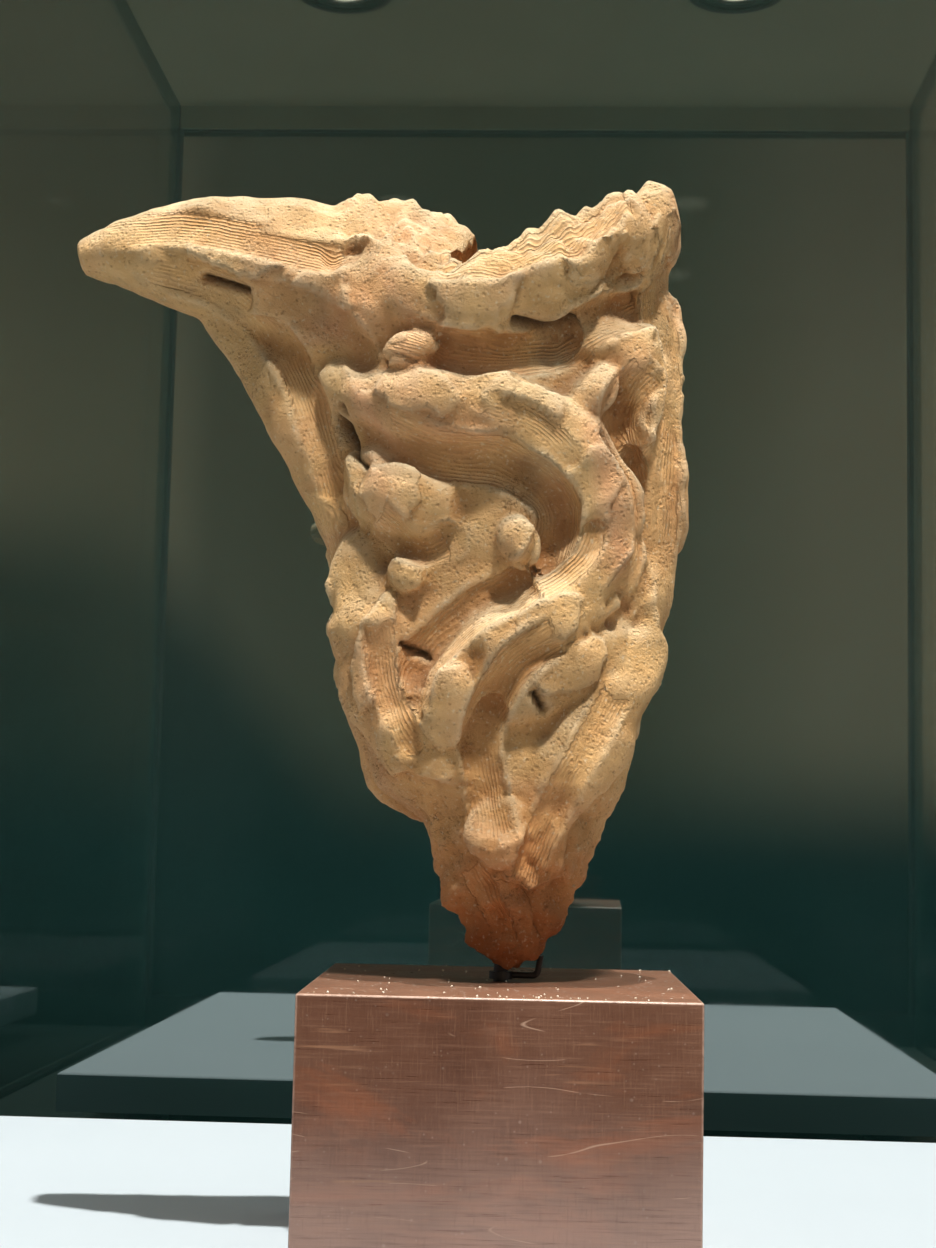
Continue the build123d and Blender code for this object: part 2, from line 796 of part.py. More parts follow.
# ---- Climate drawer --------------------------------------------------------
def drawer():
    """The drawer under the chamber: box, front, slides, runners and cassettes."""
    half = drawer_width / 2
    rear_y = fascia_inner_y + drawer_depth
    with BuildPart() as box:
        span_box((-half, half), (fascia_inner_y, rear_y), (drawer_bottom, drawer_top))
        cut_box(
            (-half + drawer_wall, half - drawer_wall),
            (fascia_inner_y + drawer_wall, rear_y - drawer_wall),
            (drawer_bottom + drawer_wall, drawer_top),
        )
        drill(
            (0, fascia_inner_y, drawer_lock_z),
            lock_barrel_radius + pin_clearance,
            4 * housing_sheet,
            "Y",
        )
    save(box, "drawer_box")

    with BuildPart() as front:
        span_box(
            (-front_panel_x, front_panel_x),
            (front_y, fascia_inner_y),
            (front_panel_bottom, front_panel_top),
        )
        drill(
            (0, fascia_inner_y, drawer_lock_z),
            lock_barrel_radius + pin_clearance,
            4 * housing_sheet,
            "Y",
        )
    save(front, "drawer_front")

    span_y = (runner_front_y, runner_rear_y)
    inner_z = (runner_bottom + runner_sheet, runner_bottom + runner_height - runner_sheet)
    web_x = cheek_x - runner_sheet
    with BuildPart() as runners:
        for side in (-1, 1):
            mouth_x = web_x - runner_overlap
            span_box(
                (side * mouth_x, side * cheek_x),
                span_y,
                (runner_bottom, runner_bottom + runner_height),
            )
            cut_box((side * mouth_x, side * web_x), span_y, inner_z)
    save(runners, "drawer_runners")

    with BuildPart() as slides:
        for side in (-1, 1):
            span_box(
                (side * half, side * (web_x - part_gap)),
                span_y,
                (inner_z[0] + part_gap, inner_z[1] - part_gap),
            )
    save(slides, "drawer_slides")

    cassette_front_y = cam_front_y + cam_thickness + cassette_gap / 2
    cassette_rear_y = rear_y - drawer_wall - cassette_gap / 2
    length = (cassette_rear_y - cassette_front_y - cassette_gap) / 2
    width = drawer_width - 2 * drawer_wall - 2 * cassette_gap
    base_z = drawer_bottom + drawer_wall
    columns = int((width - cassette_hole_pitch) // cassette_hole_pitch)
    rows = int((length - cassette_hole_pitch) // cassette_hole_pitch)
    for start_y, name in (
        (cassette_front_y, "silica_cassette_front"),
        (cassette_rear_y - length, "silica_cassette_rear"),
    ):
        with BuildPart() as cassette:
            span_box(
                (-width / 2, width / 2),
                (start_y, start_y + length),
                (base_z, base_z + cassette_height),
            )
            with BuildSketch(Plane.XY.offset(base_z + cassette_height)):
                with Locations((0, start_y + length / 2)):
                    with GridLocations(cassette_hole_pitch, cassette_hole_pitch, columns, rows):
                        RegularPolygon(cassette_hole_radius, 6)
            extrude(amount=-cassette_hole_depth, mode=Mode.SUBTRACT)
        save(cassette, name)


# ---- Canopy ----------------------------------------------------------------
def canopy_housing():
    """The sheet steel body over the chamber, with the strip behind its lid."""
    outer = (-housing_outer_x, housing_outer_x)
    inner = (-housing_inner_x, housing_inner_x)
    with BuildPart() as canopy:
        span_box(outer, (front_y, sheet_front_y), (canopy_bottom, canopy_wall_top))
        cut_box(inner, (fascia_inner_y, sheet_front_y), (canopy_bottom + housing_sheet, case_top))
        cut_box(inner, (flange_inner_y, sheet_front_y), (canopy_bottom, canopy_bottom + housing_sheet))
        span_box(outer, (sheet_front_y - rear_strip_depth, sheet_front_y), (canopy_wall_top, case_top))
        block_x = (-housing_inner_x, -housing_inner_x + pivot_block_length)
        block_low = canopy_bottom + housing_sheet
        span_box(block_x, (fascia_inner_y, flange_inner_y), (block_low, block_low + pivot_block_height))
        drill((pivot_x, pivot_y, canopy_bottom), pivot_radius, 2 * (housing_sheet + pivot_block_height))
        drill((lock_x, front_y, upper_lock_z), lock_barrel_radius + pin_clearance, 4 * housing_sheet, "Y")
        cam_slot(canopy_bottom, canopy_bottom + housing_sheet)
    save(canopy, "canopy_housing")


def canopy_lid():
    """The lid over the lamps, with its folded returns."""
    underside = case_top - lid_sheet
    rear_y = lid_hinge_y - part_gap
    return_x = housing_inner_x - part_gap - lid_sheet
    front_return_y = fascia_inner_y + part_gap + edge_gap
    low = underside - lid_return_height
    with BuildPart() as lid:
        span_box((-housing_outer_x, housing_outer_x), (front_y, rear_y), (underside, case_top))
        for side in (-1, 1):
            span_box(
                (side * return_x, side * (return_x + lid_sheet)),
                (front_return_y, rear_y - lid_return_setback),
                (low, underside),
            )
        span_box((-return_x, return_x), (front_return_y, front_return_y + lid_sheet), (low, underside))
    save(lid, "canopy_lid")


def lid_hinges():
    """The two butt hinges of the lid: leaves, knuckles and pins."""
    leaf_low = case_top
    with BuildPart() as fixed:
        for side in (-1, 1):
            x = side * hinge_x
            half = 1.5 * knuckle_length
            span_box(
                (x - half, x + half),
                (lid_hinge_y, lid_hinge_y + leaf_width),
                (leaf_low, leaf_low + leaf_thickness),
            )
            for end in (-1, 1):
                rod(
                    (x + end * knuckle_length, lid_hinge_y, lid_hinge_z),
                    knuckle_radius,
                    knuckle_length,
                    "X",
                )
            drill((x, lid_hinge_y, lid_hinge_z), hinge_pin_radius + pivot_fit, 4 * knuckle_length, "X")
            gap = knuckle_length / 2 + part_gap
            reach = knuckle_radius + part_gap
            cut_box(
                (x - gap, x + gap),
                (lid_hinge_y - reach, lid_hinge_y + reach),
                (leaf_low, lid_hinge_z + reach),
            )
    save(fixed, "lid_hinge_frame_leaves")

    with BuildPart() as moving:
        for side in (-1, 1):
            x = side * hinge_x
            half = 1.5 * knuckle_length
            near_y = lid_hinge_y - knuckle_radius - part_gap
            span_box(
                (x - half, x + half),
                (lid_hinge_y - leaf_width, near_y),
                (leaf_low, leaf_low + leaf_thickness),
            )
            tongue = knuckle_length / 2
            rod((x, lid_hinge_y, lid_hinge_z), knuckle_radius, knuckle_length, "X")
            span_box(
                (x - tongue, x + tongue),
                (near_y, lid_hinge_y),
                (leaf_low + part_gap, leaf_low + leaf_thickness),
            )
            drill((x, lid_hinge_y, lid_hinge_z), hinge_pin_radius + pivot_fit, 4 * knuckle_length, "X")
    save(moving, "lid_hinge_lid_leaves")

    with BuildPart() as pins:
        for side in (-1, 1):
            rod((side * hinge_x, lid_hinge_y, lid_hinge_z), hinge_pin_radius, 3 * knuckle_length, "X")
    save(pins, "lid_hinge_pins")


def ceiling():
    """The ceiling panel with its lamp holes, the beams over it and the driver."""
    side_flange_front = side_glass_front_y + seal_lip_depth
    ceiling_top = ceiling_z + ceiling_sheet
    with BuildPart() as panel:
        span_box(
            (-floor_x, floor_x),
            (side_glass_front_y, chamber_back_y - edge_gap),
            (ceiling_z, ceiling_top),
        )
        span_box(
            (-floor_x, floor_x),
            (side_glass_front_y, side_glass_front_y + upstand_sheet),
            (ceiling_z - downstand_height, ceiling_z),
        )
        for side in (-1, 1):
            span_box(
                (side * (floor_x - upstand_sheet), side * floor_x),
                (side_flange_front, chamber_back_y - edge_gap),
                (ceiling_top, ceiling_top + ceiling_flange_height),
            )
        for place in spot_places:
            drill((*place, ceiling_z), ring_bore_radius + ring_wall, 4 * ceiling_sheet)
    save(panel, "ceiling_panel")

    with BuildPart() as beams:
        for side in (-1, 1):
            near, far = side * (beam_x - beam_width / 2), side * (beam_x + beam_width / 2)
            wall = side * beam_wall
            span_box(
                (near, far),
                (fascia_inner_y, sheet_front_y),
                (ceiling_top, ceiling_top + beam_width),
            )
            cut_box(
                (near + wall, far - wall),
                (fascia_inner_y, sheet_front_y),
                (ceiling_top + beam_wall, ceiling_top + beam_width - beam_wall),
            )
            cut_box(
                (near, far),
                (fascia_inner_y, flange_inner_y),
                (ceiling_top, canopy_bottom + housing_sheet),
            )
    save(beams, "ceiling_beams")

    driver_rear_y = chamber_back_y - driver_from_back
    with BuildPart() as driver:
        span_box(
            (-driver_length / 2, driver_length / 2),
            (driver_rear_y - driver_width, driver_rear_y),
            (ceiling_top, ceiling_top + driver_height),
        )
        fillet(driver.edges().filter_by(Axis.Z), channel_sheet)
    save(driver, "led_driver")


# ---- Spotlights ------------------------------------------------------------
def spotlights():
    """The four gimbal spotlights: trim rings, turning yokes and tilting heads."""
    ring_low = ceiling_z - ring_flange_height
    ring_top = ring_low + ring_height
    with BuildPart() as rings:
        for x, y in spot_places:
            rod((x, y, (ring_low + ceiling_z) / 2), ring_flange_radius, ring_flange_height)
            rod((x, y, (ring_low + ring_top) / 2), ring_bore_radius + ring_wall, ring_height)
            drill((x, y, ring_top), ring_bore_radius, 3 * ring_height)
    save(rings, "spot_rings")

    for index, (x, y) in enumerate(spot_places, start=1):
        outer = ring_bore_radius - yoke_fit
        collar_low = ring_top + part_gap
        with BuildPart() as yoke:
            rod((x, y, (ceiling_z + collar_low) / 2), outer, collar_low - ceiling_z)
            rod((x, y, collar_low + yoke_collar_height / 2), outer + ring_wall, yoke_collar_height)
            drill((x, y, ceiling_z), outer - yoke_wall, 3 * ring_height)
            drill((x, y, tilt_z), trunnion_radius + pivot_fit, 3 * ring_bore_radius, "X")
        save(yoke, f"spot_yoke_{index}")

        with BuildPart() as head:
            with BuildSketch(Plane.XZ) as section:
                with BuildLine():
                    Polyline(
                        (0, -head_below + lens_recess_depth),
                        (lens_recess_radius, -head_below + lens_recess_depth),
                        (lens_recess_radius + lens_recess_depth / 2, -head_below),
                        (head_radius, -head_below),
                        (head_radius, head_shoulder),
                        (head_top_radius, head_above),
                        (0, head_above),
                        close=True,
                    )
                make_face()
            revolve(axis=Axis.Z)
            rod((0, 0, 0), trunnion_radius, 2 * (outer - part_gap), "X")
        head.part = head.part.moved(Location((x, y, tilt_z)))
        save(head, f"spot_head_{index}")


# ---- Exhibit ---------------------------------------------------------------
def display_block():
    """The brown block on its felt pads, turned a little on the deck."""
    place = Location((block_offset, centre_y, block_bottom + block_height / 2), (0, 0, block_turn))
    with BuildPart() as block:
        with Locations(place):
            Box(block_size, block_size, block_height)
        chamfer(block.edges().group_by(Axis.Z)[-1], block_arris)
        fillet(block.edges().filter_by(Axis.Z), block_arris)
        hole_z = block_top - pin_in_block / 2
        drill((block_offset, centre_y, hole_z), pin_radius + pin_clearance, pin_in_block)
    save(block, "display_block")

    reach = block_size - 2 * felt_inset
    with BuildPart() as pads:
        pads_centre = (block_offset, centre_y, deck_top + felt_thickness / 2)
        with Locations(Location(pads_centre, (0, 0, block_turn))):
            with GridLocations(reach, reach, 2, 2):
                Cylinder(felt_radius, felt_thickness)
    save(pads, "felt_pads")


def mount_pin():
    """The steel pin that holds the fragment up, and its small support claw."""
    low = block_top - pin_in_block
    high = fragment_bottom + pin_in_fragment
    with BuildPart() as pin:
        rod((block_offset, centre_y, (low + high) / 2), pin_radius, high - low)
    save(pin, "mount_pin")

    collar_z = block_top + claw_collar_lift
    wire_z = collar_z + claw_collar_height / 2
    with BuildPart() as claw:
        with BuildLine() as path:
            FilletPolyline(
                (block_offset + pin_radius + claw_wire_radius, centre_y, wire_z),
                (block_offset + claw_reach - claw_wire_radius, centre_y, wire_z),
                (block_offset + claw_reach, centre_y, wire_z + claw_height),
                radius=claw_wire_radius * 2,
            )
        with BuildSketch(Plane(path.line @ 0, z_dir=path.line % 0)):
            Circle(claw_wire_radius)
        sweep()
        rod((block_offset, centre_y, wire_z), claw_collar_radius, claw_collar_height)
        drill((block_offset, centre_y, wire_z), pin_radius + pin_clearance, 4 * claw_height)
    save(claw, "support_claw")


def clay_fragment():
    """A hand built clay trunk with a broken stub, hollow at the top."""
    rise = fragment_height
    wide, deep = shoulder_radius, shoulder_depth
    # Each section is its height, its shift aside, its width and its depth, as shares.
    sections = (
        (0.12, 0.04, 0.36, 0.50),
        (0.28, 0.06, 0.58, 0.74),
        (0.45, -0.02, 0.66, 0.84),
        (0.62, -0.10, 0.78, 0.92),
        (0.80, -0.14, 0.95, 1.00),
        (0.92, -0.16, 1.00, 0.90),
        (1.00, -0.14, 0.80, 0.70),
    )
    with BuildPart() as trunk:
        with BuildSketch(Plane.XY.offset(fragment_bottom)):
            with Locations((block_offset, centre_y)):
                Circle(fragment_tip_radius)
        for share, shift, width, depth in sections:
            with BuildSketch(Plane.XY.offset(fragment_bottom + share * rise)):
                with Locations((block_offset + shift * wide, centre_y)):
                    Ellipse(wide * width, deep * depth)
        loft()
        root = Vector(block_offset - wide * 0.45, centre_y, fragment_bottom + 0.84 * rise)
        end = Vector(block_offset - stub_reach, centre_y, fragment_bottom + 0.90 * rise)
        direction = (end - root).normalized()
        for point, radius in ((root, stub_root_radius), (end, stub_end_radius)):
            with BuildSketch(Plane(point, z_dir=direction)):
                Circle(radius)
        loft()
        for depth, share in ((0.0, 0.55), (cavity_depth, 0.25)):
            with BuildSketch(Plane.XY.offset(fragment_top - depth)):
                with Locations((block_offset - cavity_shift, centre_y)):
                    Ellipse(wide * share, deep * share)
        loft(mode=Mode.SUBTRACT)
        hole_z = fragment_bottom + pin_in_fragment / 2
        drill((block_offset, centre_y, hole_z), pin_radius + pin_clearance, pin_in_fragment)
    save(trunk, "clay_fragment")


rail_screw_z = wall_rails()
hanging_hook()
back_sheet(rail_screw_z)
glass_panels()
glazing_channels()
base_housing()
base_cover()
base_structure()
recess_floor()
deck()
door_rail("door_rail_bottom", door_bottom, lower_rail_top, -1)
door_rail("door_rail_top", upper_rail_bottom, door_top, 1)
pivots()
door_gasket()
locks()
drawer()
canopy_housing()
canopy_lid()
lid_hinges()
ceiling()
spotlights()
display_block()
mount_pin()
clay_fragment()
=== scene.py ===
"""Dresses the wall mounted showcase: its housings, glass, door, lamps, deck and exhibit.

Every length is in metres, in the frame of the construction model: +Z is up, +Y goes into
the wall, and the origin is the centre of the four wall bolts on the face of the wall.
"""
import logging
import math
import random
from dataclasses import dataclass
from enum import Enum
from functools import reduce

import bmesh
import bpy
import numpy as np
from mathutils import Euler, Matrix, Vector, noise


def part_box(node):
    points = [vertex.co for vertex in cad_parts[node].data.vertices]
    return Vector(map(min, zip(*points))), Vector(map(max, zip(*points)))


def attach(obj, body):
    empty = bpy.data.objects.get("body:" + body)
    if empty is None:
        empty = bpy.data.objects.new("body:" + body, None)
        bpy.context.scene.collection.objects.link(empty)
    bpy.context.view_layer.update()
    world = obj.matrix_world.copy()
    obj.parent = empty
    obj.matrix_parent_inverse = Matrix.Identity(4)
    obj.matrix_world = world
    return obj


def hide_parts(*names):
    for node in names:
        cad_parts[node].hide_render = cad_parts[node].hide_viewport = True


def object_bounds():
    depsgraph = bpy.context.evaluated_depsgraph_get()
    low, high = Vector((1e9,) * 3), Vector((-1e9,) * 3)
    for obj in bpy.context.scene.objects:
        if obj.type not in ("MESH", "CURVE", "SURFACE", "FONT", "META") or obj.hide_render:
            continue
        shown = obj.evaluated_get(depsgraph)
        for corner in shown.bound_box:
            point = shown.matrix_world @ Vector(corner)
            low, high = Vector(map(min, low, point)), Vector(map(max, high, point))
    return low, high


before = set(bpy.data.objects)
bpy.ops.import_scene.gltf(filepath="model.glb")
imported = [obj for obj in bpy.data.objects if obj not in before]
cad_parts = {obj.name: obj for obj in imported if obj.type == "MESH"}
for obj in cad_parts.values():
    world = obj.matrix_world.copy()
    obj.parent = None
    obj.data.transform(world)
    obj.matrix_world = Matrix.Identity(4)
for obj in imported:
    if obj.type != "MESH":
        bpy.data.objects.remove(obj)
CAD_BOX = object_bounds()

LOG = logging.getLogger("showcase")

Colour = tuple[float, float, float, float]
Socket = bpy.types.NodeSocket
Span = tuple[float, float]
Route = tuple[tuple[float, float], ...]


def shade(*display: int) -> Colour:
    """Turns a display colour of 0 to 255 into the linear colour that a shader takes.

    Args:
        *display: The red, green and blue levels.

    Returns:
        The linear colour with a full alpha.
    """
    linear = []
    for level in display:
        value = level / 255
        linear.append(value / 12.92 if value <= 0.04045 else ((value + 0.055) / 1.055) ** 2.4)
    return (*linear, 1.0)


def tinted(colour: Colour, factor: float, lift: float = 0.0) -> Colour:
    """Scales a linear colour and lifts it a little, within 1."""
    return (*(min(1.0, factor * level + lift) for level in colour[:3]), 1.0)


class Body(str, Enum):
    """The bodies of the construction model that new pieces ride on."""

    CASE = "case"
    DOOR = "door"
    DRAWER = "drawer"


class Axis(Enum):
    """The frame's axes, as unit vectors."""

    X = (1.0, 0.0, 0.0)
    Y = (0.0, 1.0, 0.0)
    Z = (0.0, 0.0, 1.0)


# ---- Materials -------------------------------------------------------------
class Tree:
    """The node tree of a material, a world or a light, with short calls to fill it."""

    def __init__(self, owner: object) -> None:
        """Opens the owner's tree."""
        owner.use_nodes = True
        self.tree = owner.node_tree

    def node(self, kind: str, inputs: dict | None = None, **settings: object) -> bpy.types.Node:
        """Adds a node, sets its options and fills its inputs.

        Args:
            kind: The node's type, without the ShaderNode prefix.
            inputs: Each input's name or number, with a value or a socket to link from.
            **settings: The node's own options.

        Returns:
            The new node.
        """
        made = self.tree.nodes.new("ShaderNode" + kind)
        for option, value in settings.items():
            setattr(made, option, value)
        for key, value in (inputs or {}).items():
            if isinstance(value, bpy.types.NodeSocket):
                self.tree.links.new(value, made.inputs[key])
            else:
                made.inputs[key].default_value = value
        return made

    def math(self, operation: str, first: object, second: object = 0.0) -> Socket:
        """Joins two values or sockets by a named operation."""
        return self.node("Math", {0: first, 1: second}, operation=operation).outputs[0]

    def both(self, share: object, first: Socket, second: Socket) -> Socket:
        """Mixes two shaders, by the share of the second."""
        return self.node("MixShader", {0: share, 1: first, 2: second}).outputs[0]

    def seen(self) -> Socket:
        """Gives 1 where the camera looks, straight or through glass."""
        rays = self.node("LightPath").outputs
        return self.math("MAXIMUM", rays["Is Camera Ray"], rays["Is Transmission Ray"])


class Graph(Tree):
    """A material's node tree, with short calls for the nodes that the finishes share."""

    def __init__(self, name: str) -> None:
        """Starts a new material with an empty tree.

        Args:
            name: The material's name.
        """
        self.material = bpy.data.materials.new(name)
        super().__init__(self.material)
        self.tree.nodes.clear()
        self.output = self.node("OutputMaterial")
        coordinates = self.node("TexCoord").outputs
        self.place, self.normal = coordinates["Object"], coordinates["Normal"]

    def stretched(self, vector: Socket, scale: tuple, turn: tuple = (0, 0, 0)) -> Socket:
        """Stretches coordinates along each axis, then turns them about each, in radians."""
        return self.node("Mapping", {"Vector": vector, "Scale": scale, "Rotation": turn}).outputs[0]

    def mapped(self, scale: tuple, turn: tuple = (0, 0, 0), centre: tuple = (0, 0, 0)) -> Socket:
        """Stretches and turns the object's coordinates about a centre."""
        moved = self.node("VectorMath", {0: self.place, 1: centre}, operation="SUBTRACT").outputs[0]
        return self.stretched(moved, scale, turn)

    def noise(self, scale: float, detail: float = 4, rough: float = 0.55, bend: float = 0,
              vector: Socket | None = None) -> Socket:
        """Gives noise from 0 to 1: its features per metre, finer layers, their strength, its bend."""
        return self.node("TexNoise", {"Vector": vector or self.place, "Scale": scale, "Detail": detail,
                                      "Roughness": rough, "Distortion": bend}).outputs[0]

    def cells(self, scale: float, vector: Socket | None = None) -> Socket:
        """Gives the distance to the nearest of scattered points, so many to the metre."""
        return self.node("TexVoronoi", {"Vector": vector or self.place, "Scale": scale}).outputs["Distance"]

    def ramp(self, factor: Socket, *stops: tuple[float, Colour]) -> Socket:
        """Turns a value into a colour along a ramp.

        Args:
            factor: The value.
            *stops: Places from 0 to 1 with their colours, in order.

        Returns:
            The colour.
        """
        made = self.node("ValToRGB", {0: factor})
        elements = made.color_ramp.elements
        while len(elements) < len(stops):
            elements.new(1.0)
        for element, (place, colour) in zip(elements, stops):
            element.position = place
            element.color = colour
        return made.outputs[0]

    def level(self, value: Socket, start: Span, end: Span, smooth: bool = False) -> Socket:
        """Maps a value from one range onto another, clamped, and eased where it is smooth."""
        return self.node("MapRange", {0: value, 1: start[0], 2: start[1], 3: end[0], 4: end[1]},
                         interpolation_type="SMOOTHSTEP" if smooth else "LINEAR").outputs[0]

    def spread(self, start: Span, end: Span, *pattern: float, vector: Socket | None = None) -> Socket:
        """Maps a pattern of noise, given as the noise call takes it, from one range onto another."""
        return self.level(self.noise(*pattern, vector=vector), start, end)

    def times(self, *factors: object) -> Socket:
        """Multiplies values or sockets."""
        return reduce(lambda product, factor: self.math("MULTIPLY", product, factor), factors)

    def swing(self, amount: float, *pattern: float) -> Socket:
        """Gives noise that swings by an amount about nothing."""
        return self.times(self.math("SUBTRACT", self.noise(*pattern), 0.5), amount)

    def seam(self, *pattern: float, vector: Socket | None = None) -> Socket:
        """Gives how far noise lies from its middle, which is 0 along thin wandering lines."""
        return self.math("ABSOLUTE", self.math("SUBTRACT", self.noise(*pattern, vector=vector), 0.5))

    def mix(self, factor: object, first: object, second: object, blend: str = "MIX") -> Socket:
        """Mixes two colours, by the share of the second."""
        made = self.node("Mix", {0: factor, 6: first, 7: second}, data_type="RGBA", blend_type=blend)
        return made.outputs[2]

    def over(self, tone: Socket, *layers: tuple[object, Colour]) -> Socket:
        """Lays colours over a tone one after another, each by its own share."""
        return reduce(lambda under, layer: self.mix(layer[0], under, layer[1]), layers, tone)

    def grained(self, tone: Socket, share: Socket) -> Socket:
        """Darkens and lightens a tone by a share about 1."""
        grey = self.node("CombineColor", {0: share, 1: share, 2: share}).outputs[0]
        return self.mix(1.0, tone, grey, "MULTIPLY")

    def part(self, vector: Socket, axis: str) -> Socket:
        """Gives one component of a vector."""
        return self.node("SeparateXYZ", {0: vector}).outputs[axis]

    def mark(self, name: str) -> Socket:
        """Reads a mark that the piece's mesh carries."""
        return self.node("Attribute", attribute_name=name).outputs["Fac"]

    def bump(self, height: Socket, depth: float) -> Socket:
        """Bends the normal by a height field, in which 1 stands for a depth in metres."""
        return self.node("Bump", {"Height": height, "Distance": depth, "Strength": 1.0}).outputs[0]

    def surface(self, **inputs: object) -> None:
        """Ends the tree in one principled surface; an underscore stands for a space."""
        named = {key.replace("_", " "): value for key, value in inputs.items()}
        self.end(self.node("BsdfPrincipled", named).outputs[0])

    def end(self, shader: Socket) -> None:
        """Links a shader to the material's output."""
        self.tree.links.new(shader, self.output.inputs["Surface"])


@dataclass(frozen=True)
class Finish:
    """What every finish has: a name and a material that is made once."""

    name: str

    def build(self) -> None:
        """Makes the material."""
        raise NotImplementedError

    def material(self) -> bpy.types.Material:
        """Gives the finish's material, made at its first use.

        Returns:
            The material.
        """
        if self.name not in bpy.data.materials:
            self.build()
        return bpy.data.materials[self.name]


@dataclass(frozen=True)
class PowderCoat(Finish):
    """Fine textured powder coat on sheet steel, with a faint bloom of handling."""

    colour: Colour
    roughness: float
    grain: float = 1400.0
    relief: float = 0.00009

    def build(self) -> None:
        """Makes the coat from its grain, mottle and bloom."""
        graph = Graph(self.name)
        grain = graph.noise(self.grain, 2, 0.5)
        mottle = graph.ramp(graph.noise(9.0, 5, 0.6), (0.3, tinted(self.colour, 0.94)),
                            (0.7, tinted(self.colour, 1.05, 0.002)))
        specks = graph.level(grain, (0.25, 0.75), (0.94, 1.06))
        bloom = graph.spread((0.3, 0.7), (self.roughness - 0.05, self.roughness + 0.08), 3.2, 6, 0.7, 0.6)
        graph.surface(Base_Color=graph.grained(mottle, specks), Roughness=bloom,
                      Normal=graph.bump(grain, self.relief))


@dataclass(frozen=True)
class BrushedMetal(Finish):
    """Metal with fine lines along one axis and a little wear."""

    colour: Colour
    roughness: float
    along: Axis
    lines: float = 2600.0
    metallic: float = 1.0

    def build(self) -> None:
        """Makes the metal from its lines, its clouding and its scratches."""
        graph = Graph(self.name)
        scale = tuple(0.02 if share else 1.0 for share in self.along.value)
        lines = graph.noise(self.lines, 2, 0.5, 0, graph.mapped(scale))
        cloud = graph.ramp(graph.noise(22.0, 5, 0.6, 0.4), (0.25, tinted(self.colour, 0.82)),
                           (0.75, self.colour))
        scratched = graph.mapped(tuple(0.15 + 0.85 * part for part in scale))
        gloss = graph.spread((0.35, 0.65), (self.roughness - 0.07, self.roughness + 0.09),
                             260.0, 2, 0.4, 1.5, vector=scratched)
        graph.surface(Base_Color=graph.grained(cloud, graph.level(lines, (0.3, 0.7), (0.90, 1.06))),
                      Metallic=self.metallic, Roughness=gloss, Normal=graph.bump(lines, 0.00002))


@dataclass(frozen=True)
class ZincPlate(Finish):
    """Zinc plated steel with soft spangles."""

    colour: Colour = (0.36, 0.37, 0.38, 1.0)

    def build(self) -> None:
        """Makes the plating from its spangles and a thin dulling film."""
        graph = Graph(self.name)
        spangle = graph.node("TexVoronoi", {"Vector": graph.place, "Scale": 55.0, "Randomness": 1.0})
        patch = graph.part(spangle.outputs["Color"], "X")
        dull = tinted(self.colour, 0.72)
        tone = graph.mix(graph.level(patch, (0.0, 1.0), (0.0, 0.35)), self.colour, dull)
        tone = graph.mix(graph.spread((0.45, 0.75), (0.0, 0.4), 14.0, 6, 0.65, 0.8), tone, dull)
        graph.surface(Base_Color=tone, Metallic=1.0, Roughness=graph.level(patch, (0.0, 1.0), (0.34, 0.52)),
                      Normal=graph.bump(graph.noise(600.0, 3), 0.00003))


@dataclass(frozen=True)
class ClearPane(Finish):
    """Laminated low iron glass: clear through its faces, green along its polished edges."""

    face: Axis
    tint: Colour = (0.972, 0.990, 0.985, 1.0)
    shine: Colour = (0.95, 0.98, 0.97, 1.0)
    edge: Colour = (0.035, 0.12, 0.095, 1.0)
    pale_edge: Colour = shade(40, 88, 76)
    dust: Colour = shade(205, 212, 208)
    head_on: float = 0.036
    film: float = 0.012
    edge_clear: float = 0.28

    def build(self) -> None:
        """Makes the pane from its clear faces, its edges and a trace of dust."""
        graph = Graph(self.name)
        across = graph.node("VectorMath", {0: graph.normal, 1: self.face.value},
                            operation="DOT_PRODUCT").outputs["Value"]
        is_edge = graph.level(graph.math("ABSOLUTE", across), (0.35, 0.8), (1.0, 0.0))
        grazing = graph.node("LayerWeight", {"Blend": 0.5}).outputs["Facing"]
        gloss = graph.math("ADD", self.head_on, graph.times(1.0 - self.head_on,
                                                            graph.math("POWER", grazing, 5.0)))
        clear = graph.node("BsdfTransparent", {0: self.tint}).outputs[0]
        shine = graph.node("BsdfGlossy", {"Color": self.shine, "Roughness": 0.02}).outputs[0]
        haze = graph.times(graph.spread((0.45, 0.8), (0.0, 1.0), 5.0, 7, 0.7, 0.6), self.film)
        matt = graph.node("BsdfDiffuse", {0: self.dust}).outputs[0]
        layers = graph.spread((0.3, 0.7), (0.0, 0.5), 900.0, 2, 0.5, 0, vector=graph.mapped(self.face.value))
        polished = graph.node("BsdfPrincipled", {"Base Color": graph.mix(layers, self.edge, self.pale_edge),
                                                 "Roughness": 0.08, "Specular IOR Level": 0.6}).outputs[0]
        faces = graph.both(haze, graph.both(gloss, clear, shine), matt)
        graph.end(graph.both(is_edge, faces, graph.both(self.edge_clear, polished, clear)))


@dataclass(frozen=True)
class BackPane(Finish):
    """Deep green back painted glass with a half mirror's shine and faint wiping marks."""

    colour: Colour = shade(41, 75, 71)
    mirror_index: float = 2.9
    mirror_tint: Colour = (0.88, 1.0, 0.99, 1.0)

    def build(self) -> None:
        """Makes the pane from its deep colour, its shine and the marks of wiping."""
        graph = Graph(self.name)
        tone = graph.ramp(graph.noise(2.4, 4, 0.6, 0.3), (0.3, tinted(self.colour, 0.8)),
                          (0.7, tinted(self.colour, 1.3)))
        wiped = graph.mapped((1.0, 1.0, 0.35), (0.0, 0.5, 0.0))
        gloss = graph.spread((0.35, 0.75), (0.012, 0.045), 7.0, 6, 0.65, 2.0, vector=wiped)
        graph.surface(Base_Color=tone, Roughness=gloss, IOR=self.mirror_index,
                      Specular_Tint=self.mirror_tint)


